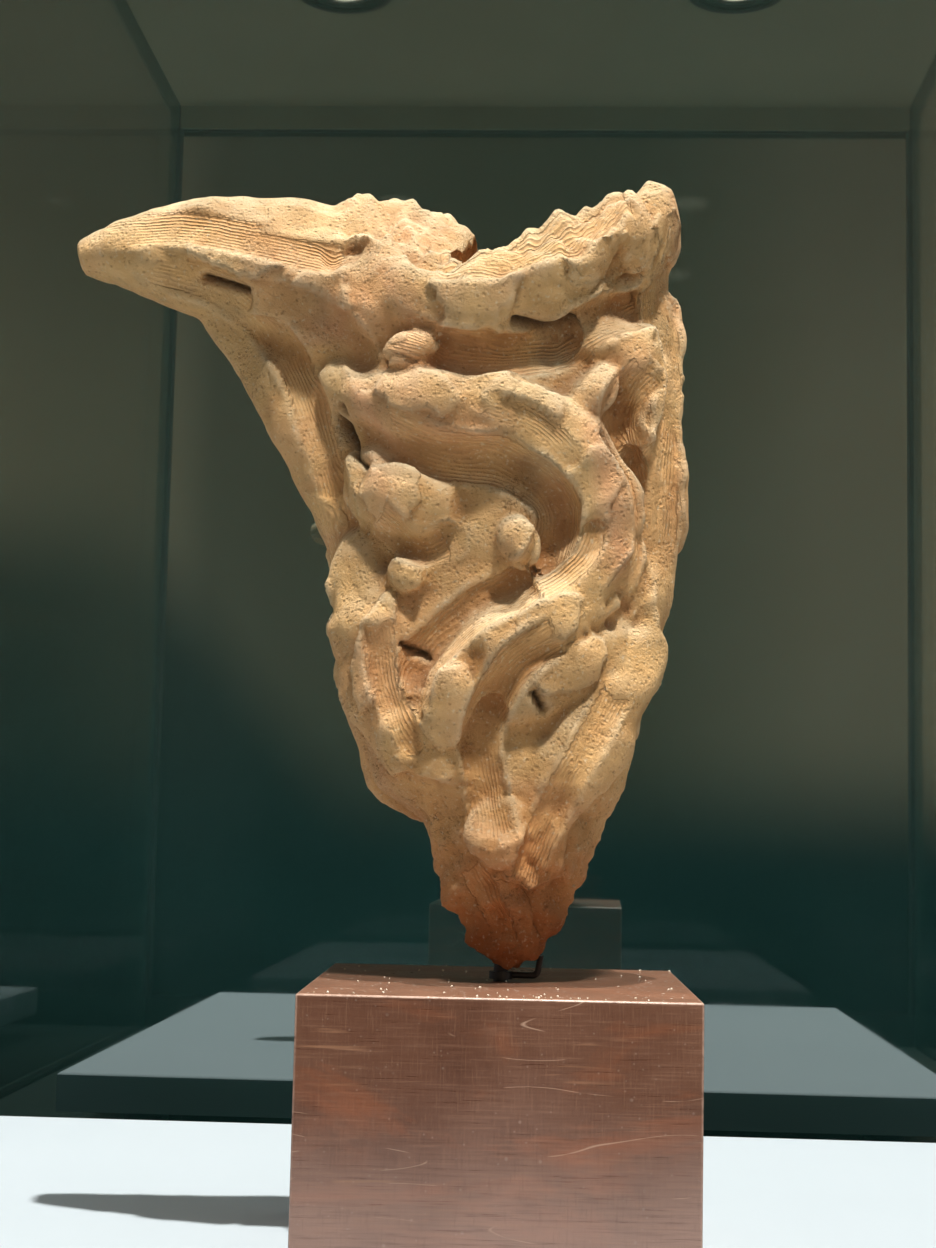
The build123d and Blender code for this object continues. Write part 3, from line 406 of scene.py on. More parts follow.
@dataclass(frozen=True)
class Lacquer(Finish):
    """Satin white lacquer on board, with a faint roller texture and a few specks of dust."""

    colour: Colour = shade(238, 245, 252)
    cast: Colour = shade(233, 241, 248)
    dust: Colour = shade(188, 186, 180)

    def build(self) -> None:
        """Makes the lacquer from its roller texture, its cast and its dust."""
        graph = Graph(self.name)
        roller = graph.noise(520.0, 3, 0.5)
        tone = graph.ramp(graph.noise(4.0, 4, 0.6), (0.3, self.cast), (0.7, self.colour))
        motes = graph.level(graph.cells(140.0), (0.012, 0.03), (1.0, 0.0))
        motes = graph.times(motes, graph.spread((0.5, 0.65), (0.0, 0.5), 6.0, 2))
        graph.surface(Base_Color=graph.mix(motes, tone, self.dust), Specular_IOR_Level=0.3,
                      Roughness=graph.level(roller, (0.3, 0.7), (0.48, 0.60)),
                      Normal=graph.bump(roller, 0.00003))


@dataclass(frozen=True)
class RubbedBrown(Finish):
    """Dark red-brown satin block, rubbed along its length, with bright arrises and dust."""

    top: float
    height: float
    centre: tuple
    turn: float
    clouds: tuple[Colour, ...] = (shade(78, 47, 34), shade(97, 62, 46), shade(110, 74, 57))

    def build(self) -> None:
        """Makes the finish from clouds, rub marks, scratches, arrises, dust, a painted deck reflection and a
        painted top highlight.
        """
        graph = Graph(self.name)
        local = graph.mapped((1.0, 1.0, 1.0), (0.0, 0.0, -self.turn), self.centre)
        upward = graph.part(graph.normal, "Z")
        lengthwise = graph.stretched(local, (0.035, 0.035, 1.0), (0.0, 0.05, 0.0))
        rubbed = graph.noise(1350.0, 5, 0.62, 0.25, lengthwise)
        weft = graph.noise(1400.0, 4, 0.6, 0.2, graph.stretched(local, (1.0, 1.0, 0.07)))
        slanting = graph.stretched(local, (0.06, 0.06, 1.0), (0.0, 0.42, 0.0))
        swept = graph.times(graph.spread((0.60, 0.70), (0.0, 0.5), 420.0, 3, 0.5, 0.3, vector=slanting),
                            graph.spread((0.50, 0.62), (0.0, 1.0), 24.0, 2, 0.5, 0, vector=local))
        ember = graph.spread((0.50, 0.68), (0.0, 0.75), 26.0, 5, 0.65, 0.9,
                             vector=graph.stretched(local, (0.30, 0.30, 1.0), (0.0, 0.12, 0.0)))
        wear = graph.times(graph.mark("wear"), graph.level(upward, (0.0, 0.3), (0.30, 1.0)),
                           graph.spread((0.28, 0.55), (0.10, 0.85), 320.0, 3, 0.6, 0, vector=local))
        # painted reflection: the haze lightens the block towards its foot as the white deck's reflection
        # would
        haze = graph.times(self.haze(graph), graph.level(rubbed, (0.3, 0.7), (0.75, 1.0)))
        tone = graph.over(
            graph.ramp(graph.noise(15.0, 5, 0.6, 0.8, local), *zip((0.30, 0.5, 0.72), self.clouds)),
            (ember, shade(142, 79, 48)),
            # painted reflection of the white deck, pale and greyish towards the foot
            (haze, shade(178, 143, 129)),
            (graph.level(rubbed, (0.28, 0.46), (0.30, 0.0)), shade(72, 44, 33)),
            (graph.level(rubbed, (0.54, 0.72), (0.0, 0.30)), shade(150, 108, 84)),
            (graph.level(weft, (0.25, 0.46), (0.26, 0.0)), shade(74, 45, 34)),
            (graph.level(weft, (0.54, 0.75), (0.0, 0.34)), shade(142, 104, 83)),
            (swept, shade(160, 116, 88)),
            (self.scratch(graph, local), shade(206, 170, 146)),
            # painted highlight, partly a film of dust: faces that look up are lightened
            (graph.level(upward, (0.5, 0.95), (0.0, 0.32)), shade(180, 132, 106)),
            (wear, shade(208, 170, 150)),
            (self.dust(graph, local, upward), shade(236, 222, 208)),
        )
        height = graph.math("ADD", rubbed, graph.times(weft, 0.6))
        graph.surface(Base_Color=tone, Roughness=graph.level(rubbed, (0.3, 0.75), (0.26, 0.42)),
                      Coat_Weight=0.05, Coat_Roughness=0.25, Normal=graph.bump(height, 0.00005))

    def haze(self, graph: Graph) -> Socket:
        """Gives a painted reflection of the white deck, greyish and pale towards the block's foot.

        Args:
            graph: The material's nodes.

        Returns:
            How much of it lies on the block.
        """
        drop = graph.math("SUBTRACT", self.top, graph.part(graph.place, "Z"))
        ragged = graph.math("ADD", drop, graph.swing(0.5 * self.height, 14.0, 3))
        return graph.level(ragged, (0.2 * self.height, 1.04 * self.height), (0.0, 0.74), True)

    def scratch(self, graph: Graph, local: Socket) -> Socket:
        """Draws a few thin curved scratches.

        Args:
            graph: The material's nodes.
            local: The block's own directions.

        Returns:
            The scratches' share.
        """
        course = graph.stretched(local, (0.30, 0.30, 1.6), (0.0, 0.25, 0.0))
        line = graph.level(graph.seam(42.0, 1, 0.3, 0.1, vector=course), (0.0, 0.005), (1.0, 0.0))
        return graph.times(line, graph.spread((0.56, 0.60), (0.0, 1.0), 34.0, 2, 0.5, 0, vector=local), 0.5)

    def dust(self, graph: Graph, local: Socket, upward: Socket) -> Socket:
        """Scatters coarse and fine dust specks, most of them on top.

        Args:
            graph: The material's nodes.
            local: The block's own directions.
            upward: How far each face looks up.

        Returns:
            The specks' share.
        """
        specks = []
        for scale, size in ((150.0, 0.11), (310.0, 0.13)):
            motes = graph.level(graph.cells(scale, local), (0.7 * size, size), (1.0, 0.0))
            sparse = graph.spread((0.47, 0.53), (0.0, 1.0), 0.4 * scale, 2, 0.5, 0, vector=local)
            specks.append(graph.times(motes, sparse))
        return graph.times(graph.math("MAXIMUM", *specks), graph.level(upward, (0.5, 0.9), (0.07, 1.0)))


@dataclass(frozen=True)
class WorkedClay(Finish):
    """Fired pale clay: sandy lumps, toothed pulls, torn layers, hairline cracks and a stained foot."""

    foot: float
    tooth_pitch: float = 0.00145
    band_teeth: float = 4.3
    clouds: tuple[Colour, ...] = (shade(220, 161, 101), shade(234, 181, 119), shade(245, 200, 143))

    def build(self) -> None:
        """Makes the clay's colour and relief from its body, its grain and the tool's marks, with painted
        shade in hollows, furrows and cuts and a painted highlight on raised crests.
        """
        graph = Graph(self.name)
        combed = graph.times(graph.level(graph.mark("combed"), (0.55, 0.85), (0.0, 1.0), True),
                             graph.spread((0.36, 0.54), (0.15, 1.0), 38.0, 3, 0.6))
        furrow = graph.times(self.teeth(graph), combed)
        grit = graph.math("ADD", graph.noise(900.0, 4, 0.72),
                          graph.level(graph.cells(420.0), (0.10, 0.42), (0.0, 0.45), True))
        sandy = graph.times(graph.spread((0.38, 0.62), (0.9, 2.1), 34.0, 3, 0.6, 0.4),
                            graph.level(combed, (0.0, 1.0), (1.0, 0.35)), grit)
        crack = graph.times(graph.level(graph.seam(22.0, 5, 0.7, 0.2), (0.0, 0.0036), (1.0, 0.0)),
                            graph.spread((0.58, 0.64), (0.0, 1.0), 26.0, 2, 0.5))
        height = graph.math("ADD", graph.part(graph.place, "Z"), graph.swing(0.05, 28.0, 4))
        rusty = graph.level(height, (self.foot + 0.020, self.foot + 0.092), (0.75, 0.0), True)
        burnt = graph.level(height, (self.foot, self.foot + 0.040), (0.85, 0.0), True)
        tone = graph.over(
            self.body(graph),
            # painted shade: hollows are darkened, as shade and the light bounced in them would darken them
            (graph.times(graph.mark("fold"), 0.66), shade(150, 86, 36)),
            # painted highlight: raised crests are paled
            (graph.times(graph.mark("ridge"), 0.34), shade(250, 230, 196)),
            # painted shade: the tool's furrows are darkened
            (graph.times(furrow, 0.42), shade(168, 112, 66)),
            (rusty, shade(214, 142, 86)),
            (burnt, shade(160, 88, 44)),
            (graph.level(grit, (0.46, 0.66), (0.42, 0.0)), shade(164, 112, 68)),
            (graph.spread((0.60, 0.74), (0.0, 0.40), 620.0, 2), shade(248, 232, 200)),
            (graph.times(crack, 0.6), shade(120, 74, 42)),
            # painted shade: the cuts are darkened nearly to black
            (graph.times(graph.mark("cut"), 0.9), shade(66, 38, 20)),
        )
        torn = graph.math("ADD", graph.mark("ledge"), graph.swing(0.55, 190.0, 4, 0.65))
        ledge = graph.level(torn, (0.46, 0.56), (0.0, 1.0), True)
        relief = graph.math("SUBTRACT", sandy, graph.times(furrow, 0.62))
        relief = graph.math("ADD", relief, graph.times(ledge, 0.8))
        relief = graph.math("SUBTRACT", relief, graph.times(crack, 0.35))
        relief = graph.math("ADD", relief, graph.times(graph.noise(130.0, 4, 0.6, 0.5), 1.3))
        graph.surface(Base_Color=tone, Roughness=0.86, Specular_IOR_Level=0.22,
                      Normal=graph.bump(relief, 0.001))

    def body(self, graph: Graph) -> Socket:
        """Colours the clay itself, with rosy clouds, greyed patches and dust with a painted highlight on
        top.

        Args:
            graph: The material's nodes.

        Returns:
            The colour.
        """
        aside = graph.mapped((1.0, 1.0, 1.0), centre=(0.4, 0.2, 0.3))
        # dust and painted highlight: faces that look up are paled
        dust_and_highlight = graph.times(graph.level(graph.part(graph.normal, "Z"), (0.10, 0.85), (0.0, 0.75)),
                            graph.spread((0.35, 0.6), (0.55, 1.0), 60.0, 4, 0.7))
        return graph.over(
            graph.ramp(graph.noise(20.0, 5, 0.62, 0.6), *zip((0.25, 0.5, 0.78), self.clouds)),
            (graph.spread((0.48, 0.74), (0.0, 0.65), 13.0, 3, 0.5, 1.2), shade(228, 158, 116)),
            (graph.spread((0.60, 0.74), (0.0, 0.7), 17.0, 4, 0.65, 0.4, vector=aside), shade(188, 154, 116)),
            (dust_and_highlight, shade(244, 222, 184)),
        )

    def teeth(self, graph: Graph) -> Socket:
        """Draws the fine furrows that a toothed tool leaves, in bands of uneven depth.

        Args:
            graph: The material's nodes.

        Returns:
            The furrows' depth.
        """
        aside = graph.math("ADD", graph.mark("comb_at"), graph.swing(0.0016, 75.0, 3, 0.6))
        wave = graph.math("SINE", graph.times(aside, math.pi / self.tooth_pitch))
        band = graph.math("SINE", graph.times(aside, math.pi / (self.band_teeth * self.tooth_pitch)))
        return graph.times(graph.math("ABSOLUTE", wave), graph.level(band, (-1.0, 1.0), (0.45, 1.0)))


@dataclass(frozen=True)
class DryGrain(Finish):
    """A dry matt body with a fine grain or nap, as crumbs of clay and pressed felt have."""

    pattern: tuple[float, ...]
    dark: Colour
    pale: Colour
    start: float = 0.3
    roughness: float = 0.9
    sheen: float = 0.0

    def build(self) -> None:
        """Makes the grain's two tones and its relief."""
        graph = Graph(self.name)
        grain = graph.noise(*self.pattern)
        graph.surface(Base_Color=graph.ramp(grain, (self.start, self.dark), (0.7, self.pale)),
                      Roughness=self.roughness, Sheen_Weight=self.sheen, Normal=graph.bump(grain, 0.0002))


@dataclass(frozen=True)
class Moulded(Finish):
    """Moulded plastic or rubber with a light spark texture."""

    colour: Colour
    roughness: float
    grain: float = 1900.0

    def build(self) -> None:
        """Makes the moulding from its spark texture and a film of dust."""
        graph = Graph(self.name)
        spark = graph.noise(self.grain, 2, 0.5)
        dust = graph.spread((0.45, 0.8), (0.0, 0.5), 40.0, 5, 0.7)
        gloss = graph.level(spark, (0.3, 0.7), (self.roughness - 0.06, self.roughness + 0.08))
        graph.surface(Base_Color=graph.mix(dust, self.colour, tinted(self.colour, 1.0, 0.05)),
                      Roughness=gloss, Normal=graph.bump(spark, 0.00005))


@dataclass(frozen=True)
class SilicaBead(Finish):
    """Orange to clear drying beads."""

    def build(self) -> None:
        """Makes the beads' waxy body and their change from orange to clear."""
        graph = Graph(self.name)
        spread = graph.noise(60.0, 3)
        graph.surface(Base_Color=graph.ramp(spread, (0.35, shade(216, 150, 60)), (0.6, shade(226, 188, 120)),
                                            (0.8, shade(226, 214, 190))),
                      Roughness=graph.level(spread, (0.0, 1.0), (0.15, 0.3)))


@dataclass(frozen=True)
class LampLens(Finish):
    """The warm white frosted lens of a small spotlight."""

    glow: float = 2.5

    def build(self) -> None:
        """Makes the lens from its bright middle and its dimples."""
        graph = Graph(self.name)
        dimple = graph.cells(900.0)
        tone = graph.ramp(dimple, (0.0, shade(255, 244, 226)), (1.0, shade(250, 226, 190)))
        graph.surface(Base_Color=tone, Roughness=graph.level(dimple, (0.0, 1.0), (0.2, 0.4)),
                      Emission_Color=tone, Emission_Strength=self.glow, Normal=graph.bump(dimple, 0.0004))


WALL_COAT = PowderCoat("wall_rail_coat", shade(70, 72, 72), 0.6)
HOUSING_COAT = PowderCoat("housing_coat", shade(62, 74, 71), 0.46)
INTERIOR_COAT = PowderCoat("interior_coat", shade(42, 60, 57), 0.42, 1000.0, 0.00006)
CEILING_COAT = PowderCoat("ceiling_coat", shade(168, 152, 121), 0.5, 1000.0, 0.00006)
BLACK_COAT = PowderCoat("black_steel_coat", shade(26, 26, 26), 0.35, 1000.0, 0.00003)
ZINC = ZincPlate("zinc_plating")
BACK_PANE = BackPane("back_pane_glass")
SIDE_PANE = ClearPane("side_pane_glass", Axis.X)
DOOR_PANE = ClearPane("door_pane_glass", Axis.Y)
DECK_LACQUER = Lacquer("deck_lacquer")
DARK_ALUMINIUM = BrushedMetal("dark_anodised", (0.055, 0.062, 0.062, 1.0), 0.38, Axis.X, 2200.0, 0.85)
LOCK_CHROME = BrushedMetal("satin_lock_chrome", (0.66, 0.67, 0.68, 1.0), 0.26, Axis.Z, 3200.0, 0.6)
BRONZE = BrushedMetal("bearing_bronze", (0.50, 0.32, 0.14, 1.0), 0.3, Axis.Z)
SCREW_STEEL = BrushedMetal("screw_steel", (0.48, 0.48, 0.47, 1.0), 0.28, Axis.Z, 3000.0)
SEAL_RUBBER = Moulded("extruded_seal_rubber", shade(34, 36, 36), 0.6)
SILICONE = Moulded("silicone_joint", shade(24, 28, 27), 0.28, 500.0)
WHITE_PLASTIC = Moulded("moulded_white_plastic", shade(222, 224, 220), 0.42)
BLACK_PLASTIC = Moulded("moulded_black_plastic", shade(28, 28, 29), 0.4)
GREEN_PLASTIC = Moulded("terminal_plastic", shade(54, 110, 84), 0.4)
PAD_FELT = DryGrain("pad_felt", (1500.0, 5, 0.75, 2.5), shade(66, 62, 56), tinted(shade(66, 62, 56), 1.7),
                    0.35, 0.95, 0.3)
CRUMBS = DryGrain("clay_crumb_dust", (700.0, 3, 0.6), shade(222, 198, 168), shade(250, 242, 228))
BEADS = SilicaBead("silica_beads_finish")
LENS = LampLens("lamp_lens_glow")


# ---- Meshes ----------------------------------------------------------------
class Shape:
    """One piece's mesh while bmesh operators shape it."""

    def __init__(self) -> None:
        """Starts an empty mesh."""
        self.mesh = bmesh.new()

    def box(self, low: tuple, high: tuple, soften: float, steps: int = 2) -> None:
        """Adds a box between two corners, with rounded edges.

        Args:
            low: The lowest corner.
            high: The highest corner.
            soften: The radius of its edges.
            steps: The segments of that radius.
        """
        centre = [(first + last) / 2 for first, last in zip(low, high)]
        sides = [abs(last - first) for first, last in zip(low, high)]
        place = Matrix.Translation(centre) @ Matrix.Diagonal((*sides, 1.0))
        made = bmesh.ops.create_cube(self.mesh, size=1.0, matrix=place)
        edges = {edge for vertex in made["verts"] for edge in vertex.link_edges}
        bmesh.ops.bevel(self.mesh, geom=list(edges), offset=soften, segments=steps, profile=0.5,
                        affect="EDGES", material=-1)

    def lathe(self, profile: list[tuple[float, float]], centre: tuple, axis: Axis = Axis.Z,
              steps: int = 48) -> None:
        """Adds a turned shape.

        Args:
            profile: Points of radius and height, from one pole to the other.
            centre: The point that heights are measured from.
            axis: The axis that it is turned about.
            steps: The segments round it.
        """
        turn = Vector(Axis.Z.value).rotation_difference(Vector(axis.value)).to_matrix().to_4x4()
        place = Matrix.Translation(centre) @ turn
        points = [self.mesh.verts.new(place @ Vector((radius, 0, height))) for radius, height in profile]
        edges = [self.mesh.edges.new(pair) for pair in zip(points, points[1:])]
        bmesh.ops.spin(self.mesh, geom=points + edges, cent=centre, axis=axis.value,
                       angle=math.tau, steps=steps, use_merge=True)

    def loft(self, places: list[Matrix], sides: int) -> None:
        """Adds a closed skin over unit circles, each laid by its own matrix.

        Args:
            places: The circles' matrices, in order along the shape.
            sides: The sides of each circle.
        """
        first = bmesh.ops.create_circle(self.mesh, cap_ends=False, segments=sides, radius=1.0,
                                        matrix=places[0])["verts"]
        ring = list({edge for vertex in first for edge in vertex.link_edges})
        bmesh.ops.contextual_create(self.mesh, geom=ring)
        for before, after in zip(places, places[1:]):
            made = bmesh.ops.extrude_edge_only(self.mesh, edges=ring)["geom"]
            moved = [part for part in made if isinstance(part, bmesh.types.BMVert)]
            ring = [part for part in made if isinstance(part, bmesh.types.BMEdge)
                    and part.verts[0] in moved and part.verts[1] in moved]
            bmesh.ops.transform(self.mesh, matrix=after @ before.inverted(), verts=moved)
        bmesh.ops.contextual_create(self.mesh, geom=ring)

    def data(self, name: str, weld: float = 1e-6) -> bpy.types.Mesh:
        """Welds the mesh, turns its faces outwards and gives its data.

        Args:
            name: The mesh's name.
            weld: The distance within which vertices join.

        Returns:
            The mesh's data.
        """
        bmesh.ops.remove_doubles(self.mesh, verts=self.mesh.verts, dist=weld)
        bmesh.ops.recalc_face_normals(self.mesh, faces=self.mesh.faces)
        made = bpy.data.meshes.new(name)
        self.mesh.to_mesh(made)
        self.mesh.free()
        return made


def linked(name: str, data: object) -> bpy.types.Object:
    """Puts a mesh, a light or a camera into the scene as an object.

    Args:
        name: The object's name.
        data: What it shows.

    Returns:
        The new object.
    """
    made = bpy.data.objects.new(name, data)
    bpy.context.scene.collection.objects.link(made)
    return made


def middle(node: str) -> Vector:
    """Gives the middle of a node's box."""
    low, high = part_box(node)
    return (Vector(low) + Vector(high)) / 2


@dataclass
class Assembly:
    """What every sub-assembly can do: coat the model's nodes and add pieces of its own."""

    def coat(self, finish: Finish, *nodes: str) -> None:
        """Gives nodes of the construction model their finish.

        Args:
            finish: The finish.
            *nodes: The nodes' names.
        """
        for name in nodes:
            for material_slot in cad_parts[name].material_slots:
                material_slot.material = finish.material()
            LOG.info("%s: %s", name, finish.name)

    def add(self, data: bpy.types.Mesh, finish: Finish, body: str, slot: str,
            crease: float = 0.6) -> bpy.types.Object:
        """Adds a finished piece that rides on a body.

        Args:
            data: The piece's mesh, whose name is the piece's.
            finish: Its finish.
            body: The body that it rides on.
            slot: The record's material slot.
            crease: The angle past which an edge stays sharp, in radians.

        Returns:
            The new piece.
        """
        data.shade_smooth()
        data.set_sharp_from_angle(angle=crease)
        data.materials.append(finish.material())
        piece = linked(data.name, data)
        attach(piece, body)
        LOG.info("%s: %d faces on %s", data.name, len(data.polygons), body)
        return piece


# ---- Case ------------------------------------------------------------------
@dataclass
class WallFixing(Assembly):
    """The rails on the wall, the hook that drops over them, and the steel back."""

    def build(self) -> None:
        """Coats the rails, the hook, the back and the cable's gland."""
        self.coat(WALL_COAT, "wall_rail_top", "wall_rail_bottom")
        self.coat(ZINC, "hanging_hook", "rail_screws")
        self.coat(HOUSING_COAT, "back_sheet")
        self.coat(BLACK_PLASTIC, "cable_gland")


@dataclass
class Housings(Assembly):
    """The base under the chamber and the canopy over it, with their covers and lid."""

    def build(self) -> None:
        """Coats the sheet steel bodies, their carriers and the lid's hinges."""
        self.coat(HOUSING_COAT, "base_housing", "base_cover", "canopy_housing", "canopy_lid")
        self.coat(ZINC, "cover_screws", "support_arms", "drawer_cheeks", "ceiling_beams")
        self.coat(BLACK_COAT, "lid_hinge_frame_leaves", "lid_hinge_lid_leaves")
        self.coat(SCREW_STEEL, "lid_hinge_pins")
        self.coat(INTERIOR_COAT, "recess_floor")
        self.coat(CEILING_COAT, "ceiling_panel")


@dataclass
class Glazing(Assembly):
    """The panes, the channels that hold them and the dark silicone in their corners."""

    bead: float = 0.005
    bead_steps: int = 5

    def build(self) -> None:
        """Dresses the panes and adds the beads of silicone."""
        self.coat(BACK_PANE, "back_glass")
        self.coat(SIDE_PANE, "side_glass_left", "side_glass_right")
        self.coat(DARK_ALUMINIUM, "glazing_channels")
        self.coat(SEAL_RUBBER, "setting_blocks", "back_glass_tape", "door_gasket")
        self.corner_beads()

    def corner_beads(self) -> None:
        """Adds a concave bead where each side pane meets the back pane."""
        back_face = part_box("back_glass")[0][1]
        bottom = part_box("deck_feet")[0][2]
        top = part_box("spot_yoke_1")[0][2]
        shape = Shape()
        for side, pane in ((-1, "side_glass_left"), (1, "side_glass_right")):
            pane_low, pane_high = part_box(pane)
            corner = Vector((pane_high[0] if side < 0 else pane_low[0], back_face, bottom))
            outline = [corner]
            for step in range(self.bead_steps + 1):
                angle = math.pi / 2 * step / self.bead_steps
                hollow = (-side * self.bead * (1 - math.sin(angle)), -self.bead * (1 - math.cos(angle)), 0)
                outline.append(corner + Vector(hollow))
            face = shape.mesh.faces.new([shape.mesh.verts.new(point) for point in outline])
            made = bmesh.ops.extrude_face_region(shape.mesh, geom=[face])["geom"]
            lifted = [part for part in made if isinstance(part, bmesh.types.BMVert)]
            bmesh.ops.translate(shape.mesh, vec=(0, 0, top - bottom), verts=lifted)
        self.add(shape.data("silicone_corner_beads"), SILICONE, Body.CASE.value, "seal_rubber")


@dataclass
class Door(Assembly):
    """The hinged glass door: its pane, clamp rails, clamp screws, pivots and locks."""

    screw_radius: float = 0.0035
    screw_stand: float = 0.0003
    socket_radius: float = 0.0013
    socket_depth: float = 0.0014
    screw_count: int = 6
    screw_inset: float = 0.06

    def build(self) -> None:
        """Dresses the door and its locks, and adds its clamp screws."""
        self.coat(DOOR_PANE, "door_glass")
        self.coat(DARK_ALUMINIUM, "door_rail_top", "door_rail_bottom")
        self.coat(SCREW_STEEL, "pivot_pins")
        self.coat(BRONZE, "pivot_bushes")
        self.coat(LOCK_CHROME, "door_lock_barrels", "door_lock_plug_bottom", "door_lock_plug_top",
                  "drawer_lock_barrel", "drawer_lock_plug")
        self.clamp_screws()

    def clamp_screws(self) -> None:
        """Adds the flush socket screws along the front of both clamp rails."""
        shape = Shape()
        profile = [
            (0.0, self.socket_depth - self.screw_stand),
            (self.socket_radius, self.socket_depth - self.screw_stand),
            (self.socket_radius, -self.screw_stand),
            (self.screw_radius - self.screw_stand, -self.screw_stand),
            (self.screw_radius, 0.0),
            (self.screw_radius, self.socket_depth),
            (0.0, 2 * self.socket_depth),
        ]
        for rail in ("door_rail_bottom", "door_rail_top"):
            low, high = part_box(rail)
            start, end = low[0] + self.screw_inset, high[0] - self.screw_inset
            for index in range(self.screw_count):
                x = start + (end - start) * index / (self.screw_count - 1)
                shape.lathe(profile, (x, low[1], (low[2] + high[2]) / 2), Axis.Y, 24)
        self.add(shape.data("door_clamp_screws"), SCREW_STEEL, Body.DOOR.value, "zinc_steel", 0.4)


@dataclass
class ClimateDrawer(Assembly):
    """The drawer under the chamber with its runners and its two cassettes of beads."""

    bead_radius: float = 0.0021
    bead_ring: float = 0.0024
    beads_in_hole: int = 4
    hole_pitch: float = 0.032
    hole_depth: float = 0.002
    bead_sink: Span = (0.55, 0.75)

    def build(self) -> None:
        """Dresses the drawer and fills its cassettes."""
        self.coat(HOUSING_COAT, "drawer_front")
        self.coat(ZINC, "drawer_box")
        self.coat(SCREW_STEEL, "drawer_runners", "drawer_slides")
        self.coat(WHITE_PLASTIC, "silica_cassette_front", "silica_cassette_rear")
        for place in ("front", "rear"):
            self.fill(place)

    def holes(self, low: float, high: float) -> list[float]:
        """Gives the middles of a cassette's holes along one of its sides, a pitch from its ends."""
        count = int((high - low - self.hole_pitch) // self.hole_pitch)
        return [(low + high) / 2 + (index - (count - 1) / 2) * self.hole_pitch for index in range(count)]

    def fill(self, place: str) -> None:
        """Lays drying beads in every hole of a cassette.

        Args:
            place: Which cassette, front or rear.
        """
        low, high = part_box(f"silica_cassette_{place}")
        shape = Shape()
        chance = random.Random(len(place))
        for x in self.holes(low[0], high[0]):
            for y in self.holes(low[1], high[1]):
                start = chance.uniform(0, math.tau)
                for bead in range(self.beads_in_hole):
                    angle = start + math.tau * bead / self.beads_in_hole
                    spot = (x + self.bead_ring * math.cos(angle), y + self.bead_ring * math.sin(angle),
                            high[2] - self.hole_depth + self.bead_radius * chance.uniform(*self.bead_sink))
                    bmesh.ops.create_icosphere(shape.mesh, subdivisions=1, radius=self.bead_radius,
                                               matrix=Matrix.Translation(spot))
        self.add(shape.data(f"silica_beads_{place}", 0.0), BEADS, Body.DRAWER.value, "white_plastic", 1.2)


@dataclass
class Lamps(Assembly):
    """The four gimbal spotlights, their glowing lenses, cooling fins and driver."""

    count: int = 4
    lens_radius: float = 0.0215
    lens_dome: float = 0.0022
    lens_seat: float = 0.0001
    recess: float = 0.004
    fin_count: int = 5
    fin_height: float = 0.0012
    fin_edge: float = 0.0045
    fin_round: float = 0.0004
    collar_radius: float = 0.014
    cone_radius: float = 0.027
    cone_start: float = 0.020
    cone_end: float = 0.046
    terminal: tuple = (0.022, 0.016, 0.014)
    terminal_ways: int = 4
    terminal_gap: float = 0.0006
    terminal_screw: tuple = ((0.0, 0.0004), (0.0026, 0.0004), (0.003, 0.0), (0.003, -0.002), (0.0, -0.002))

    def build(self) -> None:
        """Dresses the spotlights and the driver."""
        self.coat(BLACK_COAT, "spot_rings")
        self.coat(WHITE_PLASTIC, "led_driver")
        for number in range(1, self.count + 1):
            self.coat(DARK_ALUMINIUM, f"spot_yoke_{number}", f"spot_head_{number}")
            self.lens(number)
            self.fins(number)
        self.terminals()

    def lens(self, number: int) -> None:
        """Adds the domed lens in a head's recess.

        Args:
            number: Which spotlight.
        """
        radius, dome = self.lens_radius, self.lens_dome
        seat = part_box(f"spot_head_{number}")[0][2] + self.recess - dome / 2 - self.lens_seat
        centre = middle(f"spot_head_{number}")
        profile = [(0.0, -dome), (radius * 0.5, -dome * 0.78), (radius * 0.85, -dome * 0.3),
                   (radius, 0.0), (radius, dome / 2), (0.0, dome / 2)]
        shape = Shape()
        shape.lathe(profile, (centre.x, centre.y, seat))
        self.add(shape.data(f"spot_lens_{number}"), LENS, f"spot_{number}_head", "white_plastic")

    def fins(self, number: int) -> None:
        """Adds the rings of a head's heat sink.

        Args:
            number: Which spotlight.
        """
        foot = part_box(f"spot_head_{number}")[0][2]
        centre = middle(f"spot_head_{number}")
        shape = Shape()
        for index in range(self.fin_count):
            share = (index + 0.5) / self.fin_count
            height = self.cone_start + share * (self.cone_end - self.cone_start)
            radius = self.cone_radius + share * (self.collar_radius - self.cone_radius) + self.fin_edge
            core = radius - 2 * self.fin_edge
            profile = [(core, 0.0), (radius - self.fin_round, 0.0), (radius, self.fin_round),
                       (radius, self.fin_height - self.fin_round),
                       (radius - self.fin_round, self.fin_height), (core, self.fin_height), (core, 0.0)]
            shape.lathe(profile, (centre.x, centre.y, foot + height), Axis.Z, 40)
        self.add(shape.data(f"spot_fins_{number}"), DARK_ALUMINIUM, f"spot_{number}_head", "dark_aluminium")

    def terminals(self) -> None:
        """Adds the terminal block on the driver's lid."""
        low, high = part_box("led_driver")
        width, depth, height = self.terminal
        shape = Shape()
        start = high[0] - width - depth
        for way in range(self.terminal_ways):
            near = low[1] + depth / 2 + way * width / 2
            far = near + width / 2 - self.terminal_gap
            shape.box((start, near, high[2]), (start + width, far, high[2] + height), self.terminal_gap)
            shape.lathe(self.terminal_screw, (start + width / 2, near + width / 4, high[2] + height),
                        Axis.Z, 20)
        self.add(shape.data("driver_terminals"), GREEN_PLASTIC, Body.CASE.value, "black_plastic")


